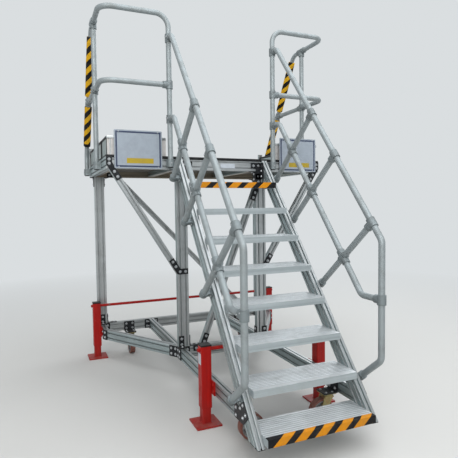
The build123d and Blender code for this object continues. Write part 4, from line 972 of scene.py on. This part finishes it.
def brace_strap_seats():
    seats = []
    half = PROFILE / 2
    front, rear = at_y(FRONT_PLANE), at_y(REAR_FACE)
    for side, _ in SIDES:
        top = Vector((side * (DECK_HALF_WIDTH - WING_BRACE_TOP_INSET), 0, BEAM_BOTTOM))
        foot = Vector((side * STAIR_OUTER, 0, BEAM_BOTTOM - WING_BRACE_DROP))
        run = (top - foot).normalized()
        beam_x = side * (DECK_HALF_WIDTH - half)
        knee_z = top.z + (beam_x - top.x) * run.z / run.x
        seats += strap_seats(front, (beam_x, 0, DECK_TOP), (beam_x, 0, knee_z), top - run * STRAP_REACH)
        knee = foot - run * half
        seats += strap_seats(front, knee - RIGHT * side * BRACE_PLATE_RISE, knee, foot + run * STRAP_REACH)

    foot = Vector((FRONT_BRACE_FOOT_X, 0, BASE_TOP))
    top = Vector((LEG_X - PROFILE_TALL / 2, 0, BASE_TOP + FRONT_BRACE_RISE))
    run = (top - foot).normalized()
    knee = foot - run * (half / run.z)
    seats += strap_seats(front, knee - RIGHT * BRACE_PLATE_RISE, knee, foot + run * STRAP_REACH)
    knee = top + run * (half / run.x)
    seats += strap_seats(front, knee + UP * BRACE_PLATE_RISE, knee, top - run * STRAP_REACH)

    ends = (Vector((-REAR_BRACE_TOP_X, 0, BASE_TOP)), Vector((REAR_BRACE_TOP_X, 0, BEAM_BOTTOM)))
    for end, other in (ends, ends[::-1]):
        run = (other - end).normalized()
        knee = end - run * (half / abs(run.z))
        outwards = RIGHT * math.copysign(BRACE_PLATE_RISE, end.x)
        seats += strap_seats(rear, knee + outwards, knee, end + run * STRAP_REACH)
    return seats


def castor_places():
    """Name, axis position and trail direction in degrees of each castor."""
    front_x = STAIR_INNER - CASTOR_BRACKET - PROFILE
    rear_y = REAR_FACE - CASTOR_BRACKET - PROFILE
    return (("front_left", -front_x, FRONT_CASTOR_Y, 0), ("front_right", front_x, FRONT_CASTOR_Y, 180),
            ("rear_left", -REAR_CASTOR_X, rear_y, 270), ("rear_right", REAR_CASTOR_X, rear_y, 270))


def castor_bracket_seats():
    seats = []
    flange_top = CASTOR_HEIGHT + CASTOR_BRACKET
    for name, x, distance, _ in castor_places():
        y = at_y(distance)
        side = math.copysign(1, x)
        rear = name.startswith("rear")
        for across in (-CASTOR_UPRIGHT_BOLT, CASTOR_UPRIGHT_BOLT):
            for z in (BASE_BOTTOM + PROFILE / 2, BASE_TOP - PROFILE / 2):
                if rear:
                    seats.append(((x + across, at_y(REAR_FACE) - CASTOR_BRACKET, z), FORWARD, 1.0))
                else:
                    seats.append(((side * (STAIR_INNER - CASTOR_BRACKET), y + across, z), -RIGHT * side, 1.0))
        for across in (-CASTOR_FLANGE_BOLT, CASTOR_FLANGE_BOLT):
            for deep in CASTOR_FLANGE_BOLTS_DEEP:
                along_x, along_y = (across, deep) if rear else (deep, across)
                seats.append(((x + along_x, y + along_y, flange_top), UP, FLANGE_BOLT_SIZE))
    return seats


def jack_places():
    """Name, side, X and Y of each jack."""
    front_x = STAIR_OUTER + JACK_BRACKET + JACK_TUBE / 2
    rear_x = REAR_LEG_X + PROFILE / 2 + JACK_BRACKET + JACK_TUBE / 2
    return [(f"{end}_{name}", side, side * x, at_y(distance)) for side, name in SIDES
            for end, x, distance in (("front", front_x, FRONT_JACK_Y), ("rear", rear_x, REAR_JACK_Y))]


def jack_bracket_seats():
    return [((x - side * JACK_TUBE / 2, y + off, z), RIGHT * side, 1.0) for _, side, x, y in jack_places()
            for off in (-JACK_BOLT, JACK_BOLT) for z in (BASE_BOTTOM + PROFILE / 2, BASE_TOP - PROFILE / 2)]


plate_seats = brace_strap_seats() + castor_bracket_seats()
for side, _ in SIDES:
    plate_seats += leg_bracket_seats(side) + rail_bracket_seats(side) + stringer_plate_seats(side)
grown("plate_bolts", BOLT, plate_seats, "stand", ZINC)
grown("jack_bolts", BOLT, jack_bracket_seats(), "stand", RED)


# Screws in the tube fittings and their feet

def slope_z(distance, rise):
    """Height of a line parallel to the nosings, this far above them."""
    return FIRST_TREAD_TOP + rise + distance * RISER / GOING


def stringer_foot(side, distance, z):
    """Point on a stringer's middle line square below a point beside it."""
    front = FIRST_TREAD_TOP + (distance - STRINGER_SETBACK) * math.tan(SLOPE)
    length = (z - front) * math.cos(SLOPE) + PROFILE_TALL / 2
    return Vector((side * RAIL_X, at_y(distance), z)) + INTO_SLOPE * length


def strut_line(side, distance):
    """Top, foot and mid-rail crossing of a strut."""
    z = slope_z(distance, HANDRAIL_RISE)
    top = Vector((side * RAIL_X, at_y(distance), z))
    drop = (HANDRAIL_RISE - HANDRAIL_MID_RISE) * math.cos(SLOPE)
    return top, stringer_foot(side, distance, z), top + INTO_SLOPE * drop


def pad_tube_ends(side):
    """Upper and lower corner of the slanting tube."""
    x = side * GUARD_X
    return (Vector((x, at_y(SIDE_POST_Y) + PAD_TUBE_LEVEL, TOP_RAIL_Z)),
            Vector((x, at_y(PAD_TUBE_FOOT_Y), DECK_TOP + PAD_TUBE_FOOT_RISE)))


PAD_UPPER, PAD_LOWER = pad_tube_ends(1)
PAD_LENGTH = (PAD_LOWER - PAD_UPPER).length
PAD_RUN = (PAD_LOWER - PAD_UPPER).normalized()
PAD_MID_SHARE = (TOP_RAIL_Z - MID_RAIL_Z) / (PAD_UPPER.z - PAD_LOWER.z)


def fitting_seats(centre, through, branches, face):
    """One grub screw for each socket of a fitting, on the side that looks along face."""
    on_face = Vector(centre) + Vector(face) * CLAMP_RADIUS
    seats = []
    if through:
        seats.append((on_face + Vector(through).normalized() * SCREW_OFF_MIDDLE, face, 1.0))
    for branch in branches:
        reach = CLAMP_RADIUS + SCREW_PAST_SLEEVE
        seats.append((on_face + Vector(branch).normalized() * reach, face, 1.0))
    return seats


def screw_seats(side):
    outward = RIGHT * side
    inner, outer = side * RAIL_X, side * GUARD_X
    front, post_y = at_y(POST_Y), at_y(SIDE_POST_Y)
    pad_y = PAD_UPPER.y + PAD_MID_SHARE * (PAD_LOWER.y - PAD_UPPER.y)
    fittings = [
        ((inner, front, MID_RAIL_Z), UP, [outward], FORWARD),
        ((outer, post_y, MID_RAIL_Z), UP, [FORWARD, BACK], outward),
        ((outer, pad_y, MID_RAIL_Z), None, [FORWARD], outward),
        ((outer, post_y, TOP_RAIL_Z), None, [FORWARD, BACK, -UP], outward),
        ((inner, front, DECK_TOP + HANDRAIL_TOP_LEVEL), UP, [FORWARD], outward),
        ((inner, front, DECK_TOP + HANDRAIL_MID_LEVEL), UP, [FORWARD], outward),
        ((inner, at_y(HANDRAIL_DROP_Y), HANDRAIL_MID_FOOT_Z), UP, [BACK], outward),
    ]
    for distance in STRUT_YS:
        top, _, crossing = strut_line(side, distance)
        fittings += [(top, UP_SLOPE, [INTO_SLOPE], outward),
                     (crossing, INTO_SLOPE, [UP_SLOPE, -UP_SLOPE], outward)]
    return [seat for fitting in fittings for seat in fitting_seats(*fitting)]


def foot_screw_seats(side):
    """Screws in the flanges on the stringer and in the clamps on the deck's edge."""
    outward = RIGHT * side
    feet = [strut_line(side, distance)[1] for distance in STRUT_YS]
    feet.append(stringer_foot(side, HANDRAIL_DROP_Y, HANDRAIL_FOOT_Z))
    seats = []
    for foot in feet:
        middle = Vector((side * (STAIR_OUTER + PALM_THICKNESS), foot.y, foot.z))
        for way in (-1, 1):
            seats.append((middle + UP_SLOPE * (PALM_BOLT * way), outward, PALM_BOLT_SIZE))
    edge = side * (GUARD_X + CLAMP_RADIUS)
    for x, y, direction in ((side * RAIL_X, at_y(POST_Y) - CLAMP_RADIUS, FORWARD),
                            (edge, at_y(SIDE_POST_Y), outward), (edge, at_y(PAD_TUBE_FOOT_Y), outward)):
        seats.append(((x, y, (BEAM_BOTTOM + DECK_TOP) / 2), direction, PALM_BOLT_SIZE))
    return seats


grown("fitting_grub_screws", SCREW, screw_seats(-1) + screw_seats(1), "stand", ZINC)
grown("fitting_bolts", BOLT, foot_screw_seats(-1) + foot_screw_seats(1), "stand", ZINC)


# Ribs underfoot

def tread_rib_seats():
    """Two fine ribs in each groove between the treads' own ribs."""
    seats = []
    first = HAZARD_TOP_WIDTH + TREAD_RIB_WIDTH
    count = int((TREAD_DEPTH - first) / TREAD_RIB_PITCH)
    for index in range(TREAD_COUNT):
        z = FIRST_TREAD_TOP + index * RISER - TREAD_RIB_HEIGHT
        for rib in range(count):
            for share in (0.38, 0.62):
                middle = first + TREAD_RIB_PITCH * (rib + share)
                seats.append(((0.0, at_y(index * GOING + middle), z), UP, 1.0))
    return seats


def plank_rib_seats():
    """Evenly spaced ribs across the deck, as many on each plank."""
    front, rear = at_y(FRONT_PLANE + PROFILE), at_y(REAR_FACE)
    count = GRIP_RIBS_TO_A_PLANK * PLANK_COUNT
    return [((0.0, front + (rear - front) * (rib + 0.5) / count, DECK_TOP), UP, 1.0) for rib in range(count)]


grown("tread_fine_ribs", RIB, tread_rib_seats(), "stand", TREAD, Length=TREAD_LENGTH - 2 * TREAD_END_PLATE)
grown("deck_grip_ribs", RIB, plank_rib_seats(), "stand", PLANK, Foot_width=0.008, Top_width=0.005,
      Height=0.0014, Length=2 * (DECK_HALF_WIDTH - PROFILE - GRIP_RIB_INSET))


# Foam sleeves

def foam_sleeve(bm, start, end, slit):
    """Foam tube round a straight run, its ends rounded and a closed slit along one side."""
    length = (end - start).length
    place = axis_place(start, end - start)
    straight = length - 2 * FOAM_EDGE
    stations = [(0.0, FOAM_BORE), (0.0, PAD_RADIUS - FOAM_EDGE)]
    stations += [(FOAM_EDGE * (1 - math.cos(angle)), PAD_RADIUS - FOAM_EDGE + FOAM_EDGE * math.sin(angle))
                 for angle in (math.radians(30), math.radians(60), math.radians(90))]
    count = max(2, round(straight / FOAM_STEP))
    stations += [(FOAM_EDGE + straight * step / count, PAD_RADIUS) for step in range(1, count)]
    stations += [(length - level, radius) for level, radius in stations[4::-1]]
    side = place.to_3x3().inverted() @ RIGHT
    zero = math.atan2(side.y, side.x)
    rings = []
    for level, radius in stations:
        swell = random.uniform(-FOAM_SWELL, FOAM_SWELL) if radius == PAD_RADIUS else 0.0

        def reach(angle):
            away = abs(math.remainder(angle - zero - slit, 2 * math.pi))
            cut = SLIT_DEPTH * max(0.0, 1 - away / SLIT_HALF_ANGLE) if radius > FOAM_BORE else 0.0
            return radius + swell - cut

        rings.append(ring_of(bm, place, level, reach, FOAM_SEGMENTS))
    for lower, upper in zip(rings, rings[1:] + rings[:1]):
        bridge(bm, lower, upper)


def foam_sleeves():
    random.seed(4)
    bm = bmesh.new()
    cross = PAD_LENGTH * PAD_MID_SHARE
    for side, _ in SIDES:
        upper, _ = pad_tube_ends(side)
        for first, last in ((PAD_HEAD, cross - PAD_BREAK_ABOVE),
                            (cross + PAD_BREAK_BELOW, PAD_LENGTH - PAD_TAILS[side])):
            foam_sleeve(bm, upper + PAD_RUN * first, upper + PAD_RUN * last, 0.0 if side < 0 else math.pi)
    foam = striped_foam(PAD_UPPER, PAD_RUN, PAD_LENGTH)
    return finished("foam_sleeves", bm, "stand", foam, sharp=50.0)


sleeves = foam_sleeves()
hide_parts("foam_pads")


# Trims of the kick boards and of the deck's front edge

def make_trims():
    """Black edging round the side boards, a metal channel on the front ones, and the deck's black strip."""
    edging, channel, strip = bmesh.new(), bmesh.new(), bmesh.new()
    bottom = DECK_TOP + EDGE_STRIP
    low = bottom + KICK_HEIGHT - TRIM_LIP
    top = bottom + KICK_HEIGHT + TRIM_WALL
    middle_y = at_y(FRONT_PLANE + PROFILE / 2)
    thick = KICK_THICKNESS / 2 + TRIM_WALL
    post_y = at_y(SIDE_POST_Y)
    for side, _ in SIDES:
        x = side * (DECK_HALF_WIDTH - PROFILE / 2)
        near, far = x - thick, x + thick
        for start, end in ((middle_y + KICK_THICKNESS / 2, post_y - KICK_GAP / 2),
                           (post_y + KICK_GAP / 2, at_y(REAR_PLANE))):
            rounded_box(edging, (near, start, low), (far, end, top), TRIM_EDGE)
            rounded_box(edging, (near, start, bottom), (far, end, bottom + TRIM_LIP), TRIM_EDGE)
            rounded_box(edging, (near, start, bottom), (far, start + TRIM_LIP, top), TRIM_EDGE)
            rounded_box(edging, (near, end, bottom), (far, end - TRIM_LIP, top), TRIM_EDGE)
        rounded_box(channel, (side * (RAIL_X + TUBE_RADIUS), middle_y - thick, low),
                    (x + side * thick, middle_y + thick, top), TRIM_EDGE)
    front = at_y(FRONT_PLANE)
    half = DECK_HALF_WIDTH - FRONT_TRIM_INSET
    rounded_box(strip, (-half, front - FRONT_TRIM_PROUD, DECK_TOP - FRONT_TRIM_FACE),
                (half, front + FRONT_TRIM_DEPTH, DECK_TOP + FRONT_TRIM_RISE), FINE_EDGE)
    finished("kick_board_channels", channel, "stand", ALONG_X)
    finished("kick_board_trims", edging, "stand", PLASTIC)
    finished("deck_front_trim", strip, "stand", PLASTIC)


make_trims()


# Signs, left blank, and labels

def on_front(outline, centre_x, centre_z, y):
    """Outline about its middle, placed on a face that looks forward."""
    return [(centre_x + across, y, centre_z + up) for across, up in outline]


def make_signs():
    plates, borders, labels, rails = (bmesh.new() for _ in range(4))
    rivets = []
    height = SIGN_HIGH - SIGN_LOW
    centre_z = (SIGN_LOW + SIGN_HIGH) / 2
    front = at_y(FRONT_PLANE)
    sign_y = front - SIGN_STANDOFF
    face = sign_y - FILM_PROUD
    for x in SIGN_CENTRES:
        plate = on_front(round_corners(SIGN_WIDTH, height, 0.008), x, centre_z, sign_y)
        prism(plates, plate, (0, SIGN_PLATE, 0))
        rings = []
        for inset, radius in zip(SIGN_BORDER, (0.003, 0.002)):
            outline = round_corners(SIGN_WIDTH - inset, height - inset, radius, 2)
            rings.append([[borders.verts.new(point) for point in on_front(outline, x, centre_z, y)]
                          for y in (face, face + FILM)])
        (outer, outer_back), (inner, inner_back) = rings
        loops = (outer, inner, inner_back, outer_back)
        for first, second in zip(loops, loops[1:] + loops[:1]):
            bridge(borders, first, second)
        label_x, label_z = SIGN_LABEL_PLACE
        label = on_front(round_corners(*SIGN_LABEL, 0.003), x + label_x, SIGN_LOW + label_z, face)
        prism(labels, label, (0, FILM, 0))
        for rail_x in (x - SIGN_RAIL_X, x + SIGN_RAIL_X):
            rounded_box(rails, (rail_x - SIGN_RAIL_HALF, sign_y + SIGN_PLATE, SIGN_LOW + SIGN_RAIL_FOOT),
                        (rail_x + SIGN_RAIL_HALF, front, SIGN_HIGH - SIGN_RAIL_HEAD), FINE_EDGE)
            for z in (SIGN_LOW + SIGN_RAIL_HALF, SIGN_HIGH - SIGN_RAIL_HALF):
                rivets.append(((rail_x, sign_y, z), FORWARD, RIVET_SIZE))
    # Painted shade: the white sign face is given a darker grey-blue tone, as the deck's front stands in
    # shade.
    shaded_sign_face = sheet("sign_white", (0.31, 0.35, 0.40), (0.265, 0.30, 0.34), 0.34)
    navy = sheet("sign_navy", (0.018, 0.030, 0.075), (0.05, 0.065, 0.11))
    yellow = sheet("sign_yellow", (0.40, 0.285, 0.012), (0.33, 0.235, 0.03))
    for name, bm, material in (("sign_plates", plates, shaded_sign_face), ("sign_borders", borders, navy),
                               ("sign_labels", labels, yellow), ("sign_rails", rails, ALONG_Z)):
        finished(name, bm, "stand", material)
    grown("sign_rivets", BOLT, rivets, "stand", ZINC)


def make_labels():
    """Blank labels on the deck's front beam and on the left front jack."""
    bm = bmesh.new()
    outline = round_corners(*DECK_LABEL, 0.004)
    prism(bm, on_front(outline, *DECK_LABEL_PLACE, at_y(FRONT_PLANE) - LABEL_PROUD), (0, LABEL_FILM, 0))
    finished("deck_beam_label", bm, "stand", LABEL)
    bm = bmesh.new()
    x = -(STAIR_OUTER + JACK_BRACKET + JACK_TUBE) - LABEL_PROUD
    outline = [(x, at_y(FRONT_JACK_Y) + across, JACK_LABEL_Z + up)
               for across, up in round_corners(*JACK_LABEL, 0.003)]
    prism(bm, outline, (LABEL_FILM, 0, 0))
    finished("jack_label", bm, "stand", LABEL)


make_signs()
make_labels()


# Caps on open ends

def make_caps():
    """Plastic caps under the stringers and under the guard posts."""
    profiles, tubes = bmesh.new(), bmesh.new()
    long = PROFILE_TALL / math.sin(SLOPE)
    foot_y = at_y(STRINGER_SETBACK + (STRINGER_BOTTOM - FIRST_TREAD_TOP) / math.tan(SLOPE)) + long / 2
    outline = round_corners(PROFILE - CAP_INSET, long - CAP_INSET, 0.003, 3)
    for side, _ in SIDES:
        x = side * (STAIR_INNER + PROFILE / 2)
        corners = [(x + across, foot_y + up, STRINGER_BOTTOM) for across, up in outline]
        prism(profiles, corners, (0, 0, -CAP_EDGE))
        for x, distance in ((RAIL_X, POST_Y), (GUARD_X, SIDE_POST_Y), (GUARD_X, PAD_TUBE_FOOT_Y)):
            turned(tubes, TUBE_CAP, (side * x, at_y(distance), DECK_TOP - GUARD_POST_BELOW), -UP, 40)
    finished("profile_caps", profiles, "stand", PLASTIC)
    finished("tube_end_caps", tubes, "stand", PLASTIC)


make_caps()


# Castor fastenings

def axle_nut(bm, centre, axis):
    """Plain hexagon nut with a rounded top, round an axle."""
    place = axis_place(centre, axis)
    half = NUT_ACROSS_FLATS / 2

    def bore(angle):
        return NUT_BORE

    def six_sided(angle):
        return half / math.cos(angle % (math.pi / 3) - math.pi / 6)

    outline = ((bore, 0.0), (six_sided, 0.0), (six_sided, NUT_HEIGHT * NUT_SHOULDER),
               (lambda angle: half, NUT_HEIGHT), (bore, NUT_HEIGHT))
    rings = [ring_of(bm, place, level, reach, 24) for reach, level in outline]
    for lower, upper in zip(rings, rings[1:] + rings[:1]):
        bridge(bm, lower, upper)


def castor_fastenings(name, x, distance, trail):
    """Washer and nut on both ends of an axle, and the race of the swivel."""
    body = f"castor_{name}"
    turn = Matrix.Rotation(math.radians(trail), 3, "Z")
    centre = Vector((x, at_y(distance), 0))
    axle = centre + turn @ Vector((TRAIL, 0, 0)) + UP * WHEEL_RADIUS
    washer = ((NUT_BORE, 0.0), (WASHER_RADIUS, 0.0), (WASHER_RADIUS, WASHER_THICKNESS),
              (NUT_BORE, WASHER_THICKNESS))
    bm = bmesh.new()
    for way in (FORWARD, BACK):
        axis = turn @ way
        face = axle + axis * FORK_OUTER
        turned(bm, washer, face, axis, 24)
        axle_nut(bm, face + axis * NUT_SEAT, axis)
    finished(f"axle_nuts_{name}", bm, body, ZINC)
    bm = bmesh.new()
    turned(bm, SWIVEL_RACE, centre, UP, 48)
    finished(f"swivel_race_{name}", bm, body, YELLOW_ZINC)


for castor in castor_places():
    castor_fastenings(*castor)


# Weld beads on the jacks

def jack_foot_weld(name, x, y):
    """Bead of small overlapping ripples round a jack's leg, where it stands on its foot."""
    bm = bmesh.new()
    half = JACK_LEG_SIZE / 2
    corners = [Vector((x + across * half, y + along * half, JACK_FOOT_THICKNESS))
               for across, along in ((-1, -1), (1, -1), (1, 1), (-1, 1))]
    for start, end in zip(corners, corners[1:] + corners[:1]):
        steps = max(2, round((end - start).length / (WELD_RADIUS * WELD_OVERLAP)))
        for step in range(steps):
            spot = start.lerp(end, step / steps)
            for vert in bmesh.ops.create_icosphere(bm, subdivisions=1, radius=WELD_RADIUS)["verts"]:
                vert.co = Vector((vert.co.x, vert.co.y, vert.co.z * WELD_HEIGHT)) + spot
    finished(f"jack_foot_weld_{name}", bm, f"jack_{name}", RED, sharp=60.0)


for name, _, x, y in jack_places():
    jack_foot_weld(name, x, y)


# Floor, light and camera

BACKDROP = (0.70, 0.73, 0.745)
ZENITH = (0.34, 0.37, 0.39)
FLOOR_RADIUS = 60.0
FLOOR_FADE = (2.2, 7.0)
CAMERA_YAW = 0.399763
CAMERA_PITCH = -0.0490891
CAMERA_ROLL = -0.0126584
CAMERA_PLACE = (-1.4255, at_y(-2.0608), 1.4146)
FOCAL_PIXELS = 458.15
PHOTO_PIXELS = 458.0
SENSOR_WIDTH = 36.0


def make_floor():
    """Pale floor that fades into the backdrop far from the stand."""
    mesh = bpy.data.meshes.new("floor")
    bm = bmesh.new()
    bmesh.ops.create_circle(bm, cap_ends=True, segments=96, radius=FLOOR_RADIUS)
    bm.to_mesh(mesh)
    bm.free()
    floor = bpy.data.objects.new("floor", mesh)
    bpy.context.scene.collection.objects.link(floor)
    finish = Finish("pale_floor", Roughness=0.75, Base_Color=(0.56, 0.55, 0.53))
    length = finish.add("ShaderNodeVectorMath", {0: finish.place}, operation="LENGTH").outputs["Value"]
    glow = finish.add("ShaderNodeEmission", {"Color": BACKDROP, "Strength": 1.0}).outputs[0]
    mixed = finish.add("ShaderNodeMixShader", {0: finish.spread(length, *FLOOR_FADE),
                                               1: finish.shader.outputs[0], 2: glow}).outputs[0]
    finish.connect(mixed, finish.tree.nodes["Material Output"].inputs["Surface"])
    mesh.materials.append(finish.material)


def make_world():
    """Pale backdrop for the camera and for reflections, with a plainer level of light on the object."""
    world = bpy.data.worlds.new("studio")
    bpy.context.scene.world = world
    world.use_nodes = True
    world.node_tree.nodes.clear()
    sky = Nodes(world.node_tree)
    path = sky.add("ShaderNodeLightPath").outputs
    seen = sky.maths("MAXIMUM", path["Is Camera Ray"], path["Is Glossy Ray"], path["Is Transmission Ray"])
    light = sky.add("ShaderNodeBackground", {"Color": (0.90, 0.96, 1.0), "Strength": 0.52}).outputs[0]
    height = sky.parts(sky.add("ShaderNodeTexCoord").outputs["Object"])["Z"]
    shade = sky.blend(sky.spread(height, 0.50, 0.85), BACKDROP, ZENITH)
    backdrop = sky.add("ShaderNodeBackground", {"Color": shade, "Strength": 1.0}).outputs[0]
    mixed = sky.add("ShaderNodeMixShader", {0: seen, 1: light, 2: backdrop}).outputs[0]
    sky.add("ShaderNodeOutputWorld", {"Surface": mixed})


def lamp(name, place, target, size, power, tint):
    """Square lamp that looks at a target."""
    data = bpy.data.lights.new(name, "AREA")
    data.shape = "SQUARE"
    data.size = size
    data.energy = power
    data.color = tint
    made = bpy.data.objects.new(name, data)
    made.location = place
    made.rotation_mode = "QUATERNION"
    made.rotation_quaternion = (Vector(target) - Vector(place)).to_track_quat("-Z", "Y")
    bpy.context.scene.collection.objects.link(made)


def make_camera():
    """Camera where the photograph was taken from."""
    level_forward = Vector((math.sin(CAMERA_YAW), math.cos(CAMERA_YAW), 0))
    level_right = Vector((math.cos(CAMERA_YAW), -math.sin(CAMERA_YAW), 0))
    forward = level_forward * math.cos(CAMERA_PITCH) + UP * math.sin(CAMERA_PITCH)
    above = UP * math.cos(CAMERA_PITCH) - level_forward * math.sin(CAMERA_PITCH)
    right = level_right * math.cos(CAMERA_ROLL) + above * math.sin(CAMERA_ROLL)
    top = above * math.cos(CAMERA_ROLL) - level_right * math.sin(CAMERA_ROLL)
    data = bpy.data.cameras.new("camera")
    data.sensor_width = SENSOR_WIDTH
    data.lens = SENSOR_WIDTH * FOCAL_PIXELS / PHOTO_PIXELS
    camera = bpy.data.objects.new("camera", data)
    turn = Matrix((right, top, -forward)).transposed().to_4x4()
    camera.matrix_world = Matrix.Translation(CAMERA_PLACE) @ turn
    bpy.context.scene.collection.objects.link(camera)
    bpy.context.scene.camera = camera


make_floor()
make_world()
lamp("overhead", (0.6, -1.6, 6.5), (0.0, 0.0, 0.9), 8.5, 430.0, (0.96, 0.98, 1.0))
lamp("front_left", (-4.0, -7.0, 4.6), (0.0, 0.0, 1.2), 6.0, 330.0, (1.0, 0.99, 0.97))
lamp("rear_right", (4.5, 4.5, 4.5), (0.0, 0.0, 1.4), 5.0, 140.0, (0.93, 0.97, 1.0))
make_camera()
bpy.context.scene.view_settings.view_transform = "Standard"
